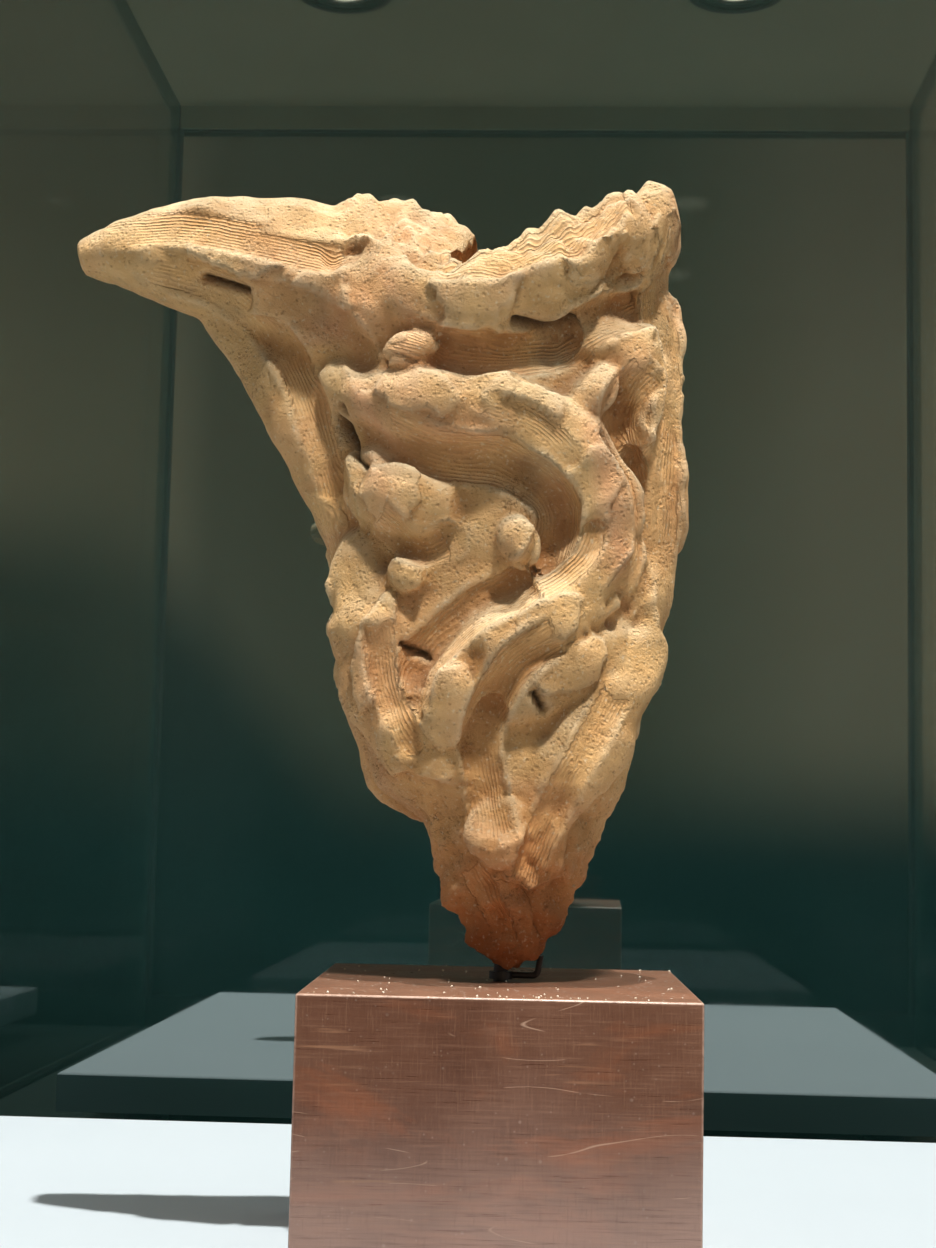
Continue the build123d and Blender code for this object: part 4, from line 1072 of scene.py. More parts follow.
# ---- Exhibit ---------------------------------------------------------------
@dataclass
class Plinth(Assembly):
    """The white deck, the brown block on its felt pads, and the pin and claw on it."""

    block_turn: float = math.radians(1.3)
    arris: float = 0.0010
    arris_steps: int = 3
    crumb_count: int = 64
    crumb_sizes: Span = (0.00028, 0.00062)
    crumb_chipping: Span = (0.75, 1.1)
    crumb_edge: float = 0.004
    crumb_gathering: float = 2.4
    crumb_seed: int = 11
    flush: float = 1e-6
    worn_share: float = 0.9

    def build(self) -> None:
        """Dresses the deck and the mount, makes the rubbed block and scatters the crumbs."""
        self.coat(DECK_LACQUER, "deck_board")
        self.coat(BLACK_COAT, "deck_feet", "mount_pin", "support_claw")
        self.coat(PAD_FELT, "felt_pads")
        self.block()
        self.crumbs()

    def crumbs(self) -> None:
        """Scatters crumbs of clay on the block, most of them along its front."""
        draw = random.Random(self.crumb_seed)
        low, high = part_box("display_block")
        centre = middle("display_block")
        half = (high[0] - low[0]) / 2 - self.crumb_edge
        shape = Shape()
        for _ in range(self.crumb_count):
            across = draw.uniform(-half, half)
            along = -half + 2 * half * draw.random() ** self.crumb_gathering
            size = draw.uniform(*self.crumb_sizes)
            spot = Vector((centre.x + across, centre.y + along, high[2] + 0.5 * size))
            turn = Euler((draw.random(), draw.random(), draw.random())).to_matrix().to_4x4()
            made = bmesh.ops.create_icosphere(shape.mesh, subdivisions=1, radius=size,
                                              matrix=Matrix.Translation(spot) @ turn)["verts"]
            for vertex in made:
                vertex.co = spot + (vertex.co - spot) * draw.uniform(*self.crumb_chipping)
        self.add(shape.data("clay_crumbs"), CRUMBS, Body.CASE.value, "clay", 0.8)

    def block(self) -> None:
        """Makes the block with rounded arrises, marked where they are worn."""
        low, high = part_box("display_block")
        centre = middle("display_block")
        side = (high[0] - low[0]) / (math.cos(self.block_turn) + math.sin(self.block_turn))
        half = Vector((side / 2, side / 2, (high[2] - low[2]) / 2))
        shape = Shape()
        shape.box(-half, half, self.arris, self.arris_steps)
        wear = shape.mesh.verts.layers.float.new("wear")
        for vertex in shape.mesh.verts:
            inset = sorted(limit - abs(value) for limit, value in zip(half, vertex.co))
            vertex[wear] = float(self.flush < inset[0] and inset[1] < self.arris * self.worn_share)
        turn = Matrix.Translation(centre) @ Matrix.Rotation(self.block_turn, 4, "Z")
        bmesh.ops.transform(shape.mesh, matrix=turn, verts=shape.mesh.verts)
        finish = RubbedBrown("rubbed_brown_block", high[2], high[2] - low[2], tuple(centre), self.block_turn)
        piece = self.add(shape.data("rubbed_block"), finish, Body.CASE.value, "block_brown", 0.9)
        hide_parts("display_block")


@dataclass(frozen=True)
class Station:
    """One level of the trunk: its height share, its shift and its half width and depth."""

    share: float
    shift: float
    width: float
    depth: float


@dataclass(frozen=True)
class Roll:
    """A roll of clay laid over the trunk, through places of (turn in degrees, height share)."""

    route: Route
    width: float
    thickness: float
    lap: float = 0.0


@dataclass(frozen=True)
class Pellet:
    """A pressed lump of clay at a turn and a height share."""

    turn: float
    share: float
    length: float
    width: float
    thickness: float
    tilt: float = 0.0


@dataclass(frozen=True)
class Stroke:
    """A pull or a cut of a tool over the clay, seen from one side.

    The face is the side's turn in degrees, and the route holds places of (metres across from the
    foot, height share). A tool with teeth leaves fine lines along its route.
    """

    face: float
    route: Route
    width: float
    depth: float
    teeth: bool = True


@dataclass(frozen=True)
class Oval:
    """An oval on the clay, seen from one side and placed as a stroke's places are."""

    face: float
    across: float
    share: float
    half_width: float
    half_height: float


@dataclass(frozen=True)
class Patch(Oval):
    """A thin torn layer of clay, pressed on."""

    tilt: float = 0.0
    thickness: float = 0.0016


@dataclass(frozen=True)
class Dent(Oval):
    """A hollow that a finger or a tool left."""

    depth: float


def along_route(route: Route, share: float) -> tuple[float, float]:
    """Gives a place along a route, smoothed through its points.

    Args:
        route: The route's points.
        share: How far along it, from 0 to 1.

    Returns:
        The place's two values.
    """
    spot = share * (len(route) - 1)
    index = min(int(spot), len(route) - 2)
    blend = spot - index
    near = (route[max(index - 1, 0)], route[index], route[index + 1], route[min(index + 2, len(route) - 1)])
    place = [0.5 * (2 * low + (high - first) * blend
                    + (2 * first - 5 * low + 4 * high - last) * blend ** 2
                    + (3 * low - first - 3 * high + last) * blend ** 3)
             for first, low, high, last in zip(*near)]
    return place[0], place[1]


def heading(points: list[Vector], index: int) -> Vector:
    """Gives the way that a line of points runs at one of them."""
    return (points[min(index + 1, len(points) - 1)] - points[max(index - 1, 0)]).normalized()


def laid(point: Vector, across: Vector, out: Vector, along: Vector) -> Matrix:
    """Gives the matrix that lays a unit circle by its half axes and the way that it faces."""
    return Matrix.Translation(point) @ Matrix((across, out, along)).transposed().to_4x4()


def ease(values: np.ndarray, low: float, high: float) -> np.ndarray:
    """Steps values softly from 0 to 1 between two limits."""
    share = np.clip((values - low) / (high - low), 0, 1)
    return share * share * (3 - 2 * share)


def fade(values: np.ndarray, low: float, high: float) -> np.ndarray:
    """Steps values softly from 1 to 0 between two limits."""
    return ease(-values, -high, -low)


@dataclass
class Skin:
    """The fragment's skin as arrays of its vertices, with the marks that working it leaves.

    Each kind of relief is given as its features per metre and its height. Spans that start or end
    something are shares of the trunk's height, of a stroke's length or of its half width.
    """

    data: bpy.types.Mesh
    foot: Vector
    height: float
    lumps: Span = (26.0, 0.0026)
    ripples: Span = (62.0, 0.0009)
    grain: Span = (300.0, 0.00012)
    tears: float = 42.0
    foot_break: float = 0.0026
    foot_grit: Span = (130.0, 0.0016)
    foot_chips: Span = (70.0, 0.0042)
    rim_chips: Span = (52.0, 0.0075)
    foot_broken: Span = (0.06, 0.30)
    foot_chipped: Span = (0.10, 0.22)
    rim_from: Span = (0.74, 0.86)
    rim_reach: Span = (0.070, 0.080)
    faces_side: Span = (0.10, 0.45)
    behind: float = -0.016
    layer_tear: float = 0.40
    layer_edge: float = 0.10
    stroke_steps: int = 10
    stroke_side: Span = (0.80, 1.0)
    stroke_start: Span = (0.02, 0.12)
    stroke_end: Span = (0.91, 0.99)
    stroke_entry: float = 0.3
    healing: float = 0.85
    lip_height: Span = (0.16, 0.5)
    lip_most: float = 0.4
    lip_place: Span = (1.06, 0.11)
    lip_entry: float = 0.2
    fold_shade_marks: Span = (0.76, 0.55)
    ridge_highlight_marks: Span = (-0.85, -0.45)

    def __post_init__(self) -> None:
        """Reads the joined mesh and starts its lumps."""
        self.foot = np.array(self.foot)
        self.count = len(self.data.vertices)
        self.spots = self.read("co")
        self.normals = self.read("normal")
        self.ragged = self.field(self.tears, 3, 0.3)
        self.depth = self.relief(self.lumps, 2) + self.relief(self.ripples, 2, 1.1)
        self.ledge, self.combed, self.comb_at, self.cut = np.zeros((4, self.count))

    def read(self, name: str) -> np.ndarray:
        """Reads one vector of every vertex.

        Args:
            name: The vector's name.

        Returns:
            The vectors, one to a row.
        """
        values = np.empty(self.count * 3)
        self.data.vertices.foreach_get(name, values)
        return values.reshape(-1, 3)

    def field(self, scale: float, layers: int, shift: float = 0.0) -> np.ndarray:
        """Gives smooth noise at every vertex, from about -1 to 1: its features per metre and layers."""
        spots = (Vector(spot) * scale for spot in self.spots + shift)
        return np.array([noise.fractal(spot, 0.7, 2.1, layers) for spot in spots])

    def relief(self, kind: Span, layers: int, shift: float = 0.0) -> np.ndarray:
        """Gives a kind of relief at every vertex, in metres."""
        return kind[1] * self.field(kind[0], layers, shift)

    def flattened(self, face: float) -> tuple[np.ndarray, np.ndarray]:
        """Sees the skin flat from one side.

        Args:
            face: The side's turn in degrees.

        Returns:
            Each vertex's place across and upright from the foot, and how much it faces that side.
        """
        turn = math.radians(face)
        right = np.array((math.cos(turn), math.sin(turn), 0.0))
        out = np.array((math.sin(turn), -math.cos(turn), 0.0))
        offset = self.spots - self.foot
        flat = np.stack((offset @ right, offset[:, 2]), axis=1)
        return flat, ease(self.normals @ out, *self.faces_side) * ease(offset @ out, self.behind, 0.0)

    def within(self, oval: Oval, tilt: float) -> tuple[np.ndarray, np.ndarray]:
        """Finds the vertices round an oval and how far out each lies.

        Args:
            oval: The patch or dent.
            tilt: Its turn in its plane, in radians.

        Returns:
            The vertices' numbers, and their distances with 1 at the oval's edge.
        """
        flat, facing = self.flattened(oval.face)
        gap = flat - np.array((oval.across, oval.share * self.height))
        along = (gap[:, 0] * math.cos(tilt) + gap[:, 1] * math.sin(tilt)) / oval.half_width
        up = (gap[:, 1] * math.cos(tilt) - gap[:, 0] * math.sin(tilt)) / oval.half_height
        reach = np.hypot(along, up) + 3.0 * (1.0 - facing)
        picked = np.nonzero(reach < 2.0)[0]
        return picked, reach[picked]

    def follow(self, stroke: Stroke, reach: float) -> tuple[np.ndarray, np.ndarray, np.ndarray, np.ndarray]:
        """Finds how each vertex near a stroke lies to it.

        Args:
            stroke: The stroke.
            reach: How far from its route a vertex still counts.

        Returns:
            The vertices' numbers, their distances aside, their progress and how much they face out.
        """
        flat, facing = self.flattened(stroke.face)
        steps = self.stroke_steps * (len(stroke.route) - 1)
        way = np.array([along_route(stroke.route, step / steps) for step in range(steps + 1)])
        way[:, 1] *= self.height
        near = np.all(flat > way.min(0) - reach, axis=1) & np.all(flat < way.max(0) + reach, axis=1)
        picked = np.nonzero(near & (facing > 0))[0]
        best = np.full(len(picked), np.inf)
        aside, progress = np.zeros((2, len(picked)))
        for step in range(steps):
            run = way[step + 1] - way[step]
            gap = flat[picked] - way[step]
            share = np.clip(gap @ run / (run @ run), 0, 1)
            rest = gap - share[:, None] * run
            distance = np.hypot(rest[:, 0], rest[:, 1])
            nearer = distance < best
            best[nearer] = distance[nearer]
            side = np.sign(run[0] * gap[:, 1] - run[1] * gap[:, 0])
            aside[nearer] = (side * distance)[nearer]
            progress[nearer] = ((step + share) / steps)[nearer]
        return picked, aside, progress, facing[picked]

    def dent(self, dent: Dent) -> None:
        """Presses a hollow into the clay."""
        picked, reach = self.within(dent, 0.0)
        self.depth[picked] -= dent.depth * np.exp(-(reach ** 3))

    def patch(self, patch: Patch) -> None:
        """Lays a thin torn layer on the clay.

        Args:
            patch: The layer.
        """
        picked, reach = self.within(patch, patch.tilt)
        inside = 1.0 + self.layer_tear * self.ragged[picked] - reach
        self.depth[picked] += patch.thickness * ease(inside, 0.0, self.layer_edge)
        self.ledge[picked] = np.maximum(self.ledge[picked], np.clip(0.5 + 2.0 * inside, 0, 1))

    def pull(self, pull: Stroke) -> None:
        """Draws a tool over the clay: a smooth trough with torn ends and a ragged lip.

        Args:
            pull: The tool's stroke, which smooths most of the older relief away.
        """
        picked, aside, progress, facing = self.follow(pull, pull.width)
        ragged = self.ragged[picked]
        over = np.abs(aside) / (pull.width / 2) + 0.10 * ragged
        torn = progress + 0.06 * ragged + 0.05 * over
        cover = facing * fade(over, *self.stroke_side)
        cover = cover * ease(torn, *self.stroke_start) * fade(torn, *self.stroke_end)
        trough = -pull.depth * (1.0 - over ** 2) * ease(progress, 0.0, self.stroke_entry)
        (low, swing), (middle_at, spread) = self.lip_height, self.lip_place
        lip = pull.depth * np.clip(low + swing * ragged, 0.0, self.lip_most)
        lip *= np.exp(-((over - middle_at) / spread) ** 2) * facing * ease(progress, 0.0, self.lip_entry)
        self.depth[picked] = self.depth[picked] * (1.0 - self.healing * cover) + cover * trough + lip
        self.ledge[picked] *= 1.0 - cover
        self.combed[picked] *= 1.0 - cover
        if pull.teeth:
            chosen = cover > 0.5
            self.comb_at[picked[chosen]] = aside[chosen]
            self.combed[picked[chosen]] = cover[chosen]

    def gash(self, gash: Stroke) -> None:
        """Cuts into the clay.

        Args:
            gash: The cut.
        """
        picked, aside, _, facing = self.follow(gash, 4 * gash.width)
        share = facing * np.exp(-(aside / gash.width) ** 2)
        self.depth[picked] -= gash.depth * share
        self.cut[picked] = np.maximum(self.cut[picked], share)

    def shape(self) -> None:
        """Adds the grain, the foot's rough break and the torn rim, and moves the vertices."""
        share = (self.spots[:, 2] - self.foot[2]) / self.height
        broken = self.foot_break * self.ragged + self.relief(self.foot_grit, 3, 0.7)
        chips = np.clip(self.field(self.foot_chips[0], 2, 2.3), -0.6, 0.6)
        self.depth += self.relief(self.grain, 2)
        self.depth += fade(share, *self.foot_broken) * broken
        self.depth += fade(share, *self.foot_chipped) * self.foot_chips[1] * chips
        worked = self.spots + self.normals * self.depth[:, None]
        aside = np.abs(self.spots[:, 0] - self.foot[0])
        rim = ease(share, *self.rim_from) * fade(aside, *self.rim_reach)
        worked[:, 2] += rim * self.rim_chips[1] * self.field(self.rim_chips[0], 3, 1.9)
        self.data.vertices.foreach_set("co", worked.ravel())
        self.data.update()

    def bowls(self, voxel: float, passes: int) -> np.ndarray:
        """Measures how deep each vertex lies below its surroundings.

        Args:
            voxel: The length that counts as 1.
            passes: How often the surroundings are averaged, which widens them.

        Returns:
            The depths, which are below 0 on a raised crest.
        """
        pairs = np.empty(len(self.data.edges) * 2, dtype=np.int32)
        self.data.edges.foreach_get("vertices", pairs)
        first, second = pairs[0::2], pairs[1::2]
        degree = np.bincount(pairs, minlength=self.count)[:, None].astype(float)
        spots = self.read("co")
        soft = spots.copy()
        for _ in range(passes):
            total = [np.bincount(first, soft[second, axis], self.count)
                     + np.bincount(second, soft[first, axis], self.count) for axis in range(3)]
            soft = np.stack(total, axis=1) / degree
        return np.einsum("ij,ij->i", soft - spots, self.read("normal")) / voxel

    def mark(self, fine: np.ndarray, broad: np.ndarray) -> None:
        """Marks the hollows for painted shade, the raised crests for a painted highlight, and what was
        worked, for the clay's finish.

        Args:
            fine: How deep each vertex lies below its near surroundings.
            broad: How deep it lies below its wider surroundings.
        """
        marks = {name: np.clip(near * fine, 0, 1) + np.clip(wide * broad, 0, 1)
                 for name, (near, wide) in (("fold", self.fold_shade_marks), ("ridge", self.ridge_highlight_marks))}
        marks |= {"cut": self.cut, "combed": self.combed, "ledge": self.ledge}
        marks = {name: np.clip(values, 0, 1) for name, values in marks.items()}
        for name, values in {**marks, "comb_at": self.comb_at}.items():
            attribute = self.data.attributes.new(name, "FLOAT", "POINT")
            attribute.data.foreach_set("value", values.astype(np.float32))


@dataclass
class ClayFragment(Assembly):
    """A broken, hollow trunk of hand worked clay, with the stub of a limb at its left.

    The fragment is a generic one of rolls, lumps and tool pulls over a tapered core. A peak of its
    rim has a turn, a rise and a reach in degrees, and a tear has a height, a pace and a seed.
    """

    stations: tuple[Station, ...] = (
        Station(0.0, 0.001, 0.006, 0.006), Station(0.03, 0.002, 0.015, 0.013),
        Station(0.12, 0.003, 0.031, 0.025), Station(0.185, 0.003, 0.038, 0.03),
        Station(0.215, -0.002, 0.051, 0.036), Station(0.34, -0.004, 0.059, 0.039),
        Station(0.46, -0.006, 0.062, 0.041), Station(0.6, -0.007, 0.066, 0.043),
        Station(0.74, -0.008, 0.069, 0.045), Station(0.86, -0.006, 0.07, 0.045),
        Station(1.0, 0.0, 0.062, 0.038),
    )
    peaks: tuple = ((86.0, 0.15, 36.0), (50.0, 0.045, 8.0), (-38.0, 0.075, 15.0), (-88.0, 0.045, 34.0),
                    (-8.0, 0.055, 6.0), (172.0, 0.09, 40.0), (-130.0, 0.05, 26.0), (112.0, 0.03, 7.0))
    rim_low: float = 0.775
    rim_tears: tuple = ((0.026, 0.07, 3.0), (0.03, 0.2, 8.0))
    wall: float = 0.010
    rim_thinning: float = 0.45
    cavity_share: float = 0.52
    ring_sides: int = 120
    limb: tuple = ((-0.036, 0.0, 0.765, 0.046, 0.036), (-0.07, -0.003, 0.812, 0.038, 0.03),
                   (-0.104, -0.004, 0.838, 0.031, 0.026), (-0.138, -0.002, 0.858, 0.024, 0.021),
                   (-0.166, 0.001, 0.862, 0.0165, 0.016), (-0.186, 0.003, 0.856, 0.007, 0.01))
    web: tuple = ((-0.128, 0.002, 0.825, 0.014, 0.01), (-0.108, 0.0, 0.765, 0.018, 0.012),
                  (-0.088, -0.002, 0.69, 0.021, 0.015), (-0.072, -0.004, 0.6, 0.02, 0.017),
                  (-0.062, -0.004, 0.5, 0.014, 0.014), (-0.055, -0.004, 0.39, 0.006, 0.008))
    rolls: tuple[Roll, ...] = (
        Roll(((-36, 0.775), (-8, 0.765), (22, 0.8), (54, 0.855), (78, 0.9)), 0.04, 0.024, 0.25),
        Roll(((-72, 0.69), (-42, 0.655), (-10, 0.64), (24, 0.605), (44, 0.525), (32, 0.435), (4, 0.38),
              (-20, 0.31), (-28, 0.215)), 0.036, 0.028, 0.3),
        Roll(((90, 0.8), (76, 0.67), (80, 0.53), (70, 0.4), (48, 0.295), (26, 0.195), (8, 0.1)),
             0.036, 0.026, 0.25),
        Roll(((-70, 0.5), (-54, 0.42), (-52, 0.33), (-40, 0.225)), 0.036, 0.022, -0.3),
        Roll(((28, 0.735), (50, 0.73), (66, 0.665), (60, 0.6)), 0.03, 0.02, -0.2),
        Roll(((-62, 0.59), (-36, 0.535), (-12, 0.525)), 0.032, 0.02, 0.3),
        Roll(((2, 0.3), (26, 0.345), (50, 0.375)), 0.03, 0.018, 0.2),
        Roll(((-56, 0.84), (-44, 0.79), (-52, 0.74)), 0.036, 0.018, -0.2),
        Roll(((120, 0.86), (138, 0.72), (150, 0.55), (150, 0.38)), 0.048, 0.024, 0.3),
        Roll(((215, 0.84), (200, 0.68), (185, 0.52), (165, 0.36), (150, 0.24)), 0.044, 0.024, -0.3),
        Roll(((-95, 0.62), (-120, 0.52), (-150, 0.44), (-175, 0.3)), 0.04, 0.022, 0.3),
        Roll(((105, 0.46), (125, 0.36), (150, 0.28), (180, 0.22)), 0.036, 0.02, 0.3),
        Roll(((-100, 0.4), (-112, 0.28), (-130, 0.18)), 0.034, 0.018, -0.3),
    )
    pellets: tuple[Pellet, ...] = (
        Pellet(-26, 0.712, 0.026, 0.015, 0.014, 0.15), Pellet(36, 0.668, 0.018, 0.026, 0.016, -0.6),
        Pellet(10, 0.485, 0.017, 0.024, 0.016, 0.35), Pellet(-32, 0.452, 0.022, 0.016, 0.013, -0.5),
        Pellet(56, 0.47, 0.018, 0.034, 0.016, -0.15), Pellet(-6, 0.165, 0.022, 0.03, 0.013, 0.2),
        Pellet(36, 0.235, 0.022, 0.015, 0.012, 0.7), Pellet(-46, 0.275, 0.02, 0.026, 0.014, -0.2),
        Pellet(150, 0.64, 0.038, 0.026, 0.018, 0.4), Pellet(-150, 0.66, 0.03, 0.04, 0.018, -0.4),
        Pellet(178, 0.42, 0.028, 0.022, 0.018, 0.8), Pellet(-120, 0.34, 0.026, 0.034, 0.016, 0.1),
    )
    pulls: tuple[Stroke, ...] = (
        Stroke(0, ((-0.052, 0.735), (-0.018, 0.706), (0.016, 0.712), (0.034, 0.745), (0.06, 0.79)),
               0.02, 0.0044),
        Stroke(0, ((-0.034, 0.82), (-0.006, 0.812), (0.022, 0.845), (0.046, 0.895)), 0.02, 0.0024),
        Stroke(0, ((0.056, 0.7), (0.044, 0.64), (0.056, 0.56), (0.058, 0.48), (0.04, 0.405)), 0.017, 0.0042),
        Stroke(0, ((-0.056, 0.625), (-0.028, 0.588), (0.0, 0.575), (0.02, 0.53), (0.014, 0.455),
                 (-0.014, 0.405), (-0.034, 0.345), (-0.038, 0.27)), 0.02, 0.0042),
        Stroke(0, ((0.022, 0.385), (0.004, 0.345), (-0.008, 0.275), (-0.006, 0.205), (0.0, 0.13)),
               0.017, 0.0036),
        Stroke(0, ((0.046, 0.33), (0.034, 0.265), (0.018, 0.175), (0.008, 0.09)), 0.014, 0.0026),
        Stroke(0, ((-0.052, 0.52), (-0.036, 0.48), (-0.022, 0.49)), 0.015, 0.0026),
        Stroke(0, ((-0.178, 0.876), (-0.14, 0.876), (-0.1, 0.85), (-0.062, 0.825)), 0.018, 0.0022),
        Stroke(0, ((-0.156, 0.838), (-0.12, 0.8), (-0.094, 0.73), (-0.08, 0.64), (-0.068, 0.52)),
               0.016, 0.0036),
        Stroke(0, ((-0.112, 0.79), (-0.086, 0.772), (-0.064, 0.728), (-0.056, 0.66)), 0.015, 0.003, False),
        Stroke(0, ((-0.104, 0.885), (-0.072, 0.872), (-0.04, 0.85)), 0.016, 0.0022, False),
        Stroke(0, ((0.064, 0.9), (0.066, 0.8), (0.062, 0.72)), 0.013, 0.0026, False),
        Stroke(0, ((-0.01, 0.64), (0.012, 0.618), (0.028, 0.575)), 0.012, 0.0012),
        Stroke(0, ((-0.05, 0.4), (-0.046, 0.32), (-0.034, 0.24)), 0.013, 0.002),
        Stroke(0, ((0.012, 0.43), (0.03, 0.47), (0.036, 0.52)), 0.012, 0.0018),
        Stroke(0, ((-0.012, 0.12), (-0.002, 0.065), (0.004, 0.02)), 0.012, 0.0012),
        Stroke(180, ((0.055, 0.84), (0.03, 0.74), (0.0, 0.66), (-0.04, 0.6)), 0.024, 0.0034),
        Stroke(180, ((0.05, 0.64), (0.02, 0.52), (-0.01, 0.42), (-0.03, 0.3)), 0.022, 0.0034),
        Stroke(180, ((-0.05, 0.8), (-0.04, 0.66), (-0.045, 0.5)), 0.018, 0.0028),
        Stroke(180, ((0.045, 0.44), (0.03, 0.33), (0.01, 0.22)), 0.018, 0.0024),
        Stroke(180, ((0.16, 0.86), (0.11, 0.83), (0.07, 0.76)), 0.022, 0.0024),
        Stroke(180, ((0.01, 0.84), (-0.01, 0.76), (-0.012, 0.68)), 0.016, 0.002, False),
        Stroke(90, ((-0.02, 0.9), (-0.014, 0.72), (-0.02, 0.55), (-0.01, 0.38)), 0.018, 0.003),
        Stroke(90, ((0.022, 0.84), (0.016, 0.66), (0.022, 0.5)), 0.018, 0.0026),
        Stroke(-90, ((0.02, 0.56), (0.01, 0.44), (0.014, 0.3)), 0.018, 0.0026),
        Stroke(-90, ((-0.02, 0.62), (-0.016, 0.5), (-0.02, 0.36)), 0.018, 0.0026),
    )
    patches: tuple[Patch, ...] = (
        Patch(0, -0.014, 0.785, 0.018, 0.02, 0.2, 0.0026), Patch(0, 0.03, 0.83, 0.016, 0.012, 0.5),
        Patch(0, -0.038, 0.665, 0.02, 0.01, -0.3), Patch(0, 0.006, 0.64, 0.018, 0.009, -0.3),
        Patch(0, 0.034, 0.56, 0.011, 0.018, 0.3), Patch(0, -0.046, 0.545, 0.014, 0.012, -0.4),
        Patch(0, 0.02, 0.405, 0.016, 0.01, 0.6), Patch(0, -0.108, 0.842, 0.026, 0.011, -0.2, 0.0028),
        Patch(0, -0.078, 0.79, 0.016, 0.01, -0.6, 0.0024), Patch(0, -0.022, 0.3, 0.012, 0.018, -0.3),
        Patch(0, 0.028, 0.35, 0.016, 0.009, 0.4), Patch(0, 0.006, 0.06, 0.01, 0.016, 0.2),
        Patch(0, 0.054, 0.86, 0.012, 0.018, 0.1, 0.0022), Patch(0, 0.062, 0.62, 0.008, 0.026, 0.0, 0.0022),
        Patch(0, -0.052, 0.36, 0.01, 0.02, -0.2, 0.0022), Patch(180, 0.0, 0.58, 0.03, 0.022, 0.3),
        Patch(180, 0.04, 0.7, 0.02, 0.03, 0.0), Patch(180, -0.02, 0.36, 0.022, 0.02, 0.4),
        Patch(180, 0.1, 0.84, 0.026, 0.014, 0.2), Patch(90, 0.0, 0.6, 0.02, 0.036),
        Patch(-90, 0.0, 0.42, 0.02, 0.03), Patch(90, 0.004, 0.34, 0.016, 0.024),
    )
    dents: tuple[Dent, ...] = (
        Dent(0, 0.046, 0.8, 0.01, 0.01, 0.0085), Dent(0, -0.072, 0.838, 0.012, 0.007, 0.006),
        Dent(0, -0.06, 0.575, 0.005, 0.01, 0.005), Dent(0, 0.0, 0.43, 0.006, 0.007, 0.0045),
        Dent(0, 0.052, 0.42, 0.006, 0.01, 0.005), Dent(0, -0.012, 0.35, 0.005, 0.008, 0.004),
        Dent(180, 0.02, 0.46, 0.009, 0.012, 0.006), Dent(180, -0.03, 0.74, 0.012, 0.009, 0.006),
    )
    gashes: tuple[Stroke, ...] = (
        Stroke(0, ((0.002, 0.742), (0.014, 0.738), (0.026, 0.748)), 0.0015, 0.006),
        Stroke(0, ((-0.04, 0.372), (-0.033, 0.36)), 0.0012, 0.005),
        Stroke(0, ((0.012, 0.316), (0.016, 0.298)), 0.0013, 0.006),
        Stroke(0, ((-0.07, 0.65), (-0.064, 0.61), (-0.06, 0.585)), 0.0015, 0.006),
        Stroke(0, ((0.038, 0.615), (0.043, 0.59)), 0.0013, 0.005),
        Stroke(0, ((-0.128, 0.812), (-0.11, 0.794)), 0.0014, 0.005),
        Stroke(180, ((0.01, 0.52), (0.022, 0.5)), 0.0016, 0.005),
    )
    levels: int = 28
    cavity_levels: int = 12
    cavity_drop: float = 0.02
    cavity_taper: float = 2.2
    thinnest: float = 0.004
    bend_from: float = 0.55
    limb_sides: int = 28
    roll_sides: int = 24
    roll_steps: int = 7
    roll_wander: float = 1.6
    roll_pace: Span = (0.05, 12.0)
    roll_taper: Span = (0.10, 0.80)
    roll_swell: float = 0.22
    roll_lumps: float = 55.0
    pellet_lift: float = 0.30
    voxel: float = 0.0016
    joint_softening: int = 5
    fold_passes: tuple[int, int] = (2, 12)

    def build(self) -> None:
        """Makes the fragment that stands for the model's solid."""
        low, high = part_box("clay_fragment")
        pin = middle("mount_pin")
        self.foot = Vector((pin.x, pin.y, low[2]))
        self.height = high[2] - low[2]
        skin = Skin(self.merged(), self.foot, self.height)
        for dent in self.dents:
            skin.dent(dent)
        for patch in self.patches:
            skin.patch(patch)
        for pull in self.pulls:
            skin.pull(pull)
        for gash in self.gashes:
            skin.gash(gash)
        skin.shape()
        skin.mark(*(skin.bowls(self.voxel, passes) for passes in self.fold_passes))
        piece = self.add(skin.data, WorkedClay("worked_clay", low[2]), Body.CASE.value, "clay", 3.2)
        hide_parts("clay_fragment")

    def station(self, share: float) -> Station:
        """Gives the trunk's section at any height share, eased between its stations.

        Args:
            share: The height share.

        Returns:
            The section.
        """
        share = min(max(share, 0.0), 1.0)
        for below, above in zip(self.stations, self.stations[1:]):
            if share <= above.share:
                blend = (share - below.share) / (above.share - below.share)
                pairs = ((below.shift, above.shift), (below.width, above.width), (below.depth, above.depth))
                return Station(share, *(first + blend * (last - first) for first, last in pairs))
        return self.stations[-1]

    def on_trunk(self, turn: float, share: float, lift: float = 0.0) -> tuple[Vector, Vector]:
        """Gives a point on the trunk's skin and the way out from it.

        Args:
            turn: Degrees round the trunk, from its front towards +X.
            share: The height share.
            lift: How far outside the skin the point lies.

        Returns:
            The point and the unit vector outwards.
        """
        section = self.station(share)
        angle = math.radians(turn)
        across, along = math.sin(angle), -math.cos(angle)
        outward = Vector((across / section.width, along / section.depth, 0)).normalized()
        point = self.foot + Vector((section.shift + section.width * across, section.depth * along,
                                    share * self.height))
        return point + outward * lift, outward

    def rim(self, angle: float) -> float:
        """Gives how high the broken rim stands at a turn, as a share.

        Args:
            angle: Radians round the trunk.

        Returns:
            The height share.
        """
        turn = math.degrees(angle)
        height = self.rim_low
        for tear, pace, seed in self.rim_tears:
            height += tear * noise.noise(Vector((turn * pace, seed, 0.0)))
        for centre, rise, reach in self.peaks:
            gap = (turn - centre + 180) % 360 - 180
            height += rise * math.exp(-abs(gap / reach) ** 3)
        return min(height, 1.0)

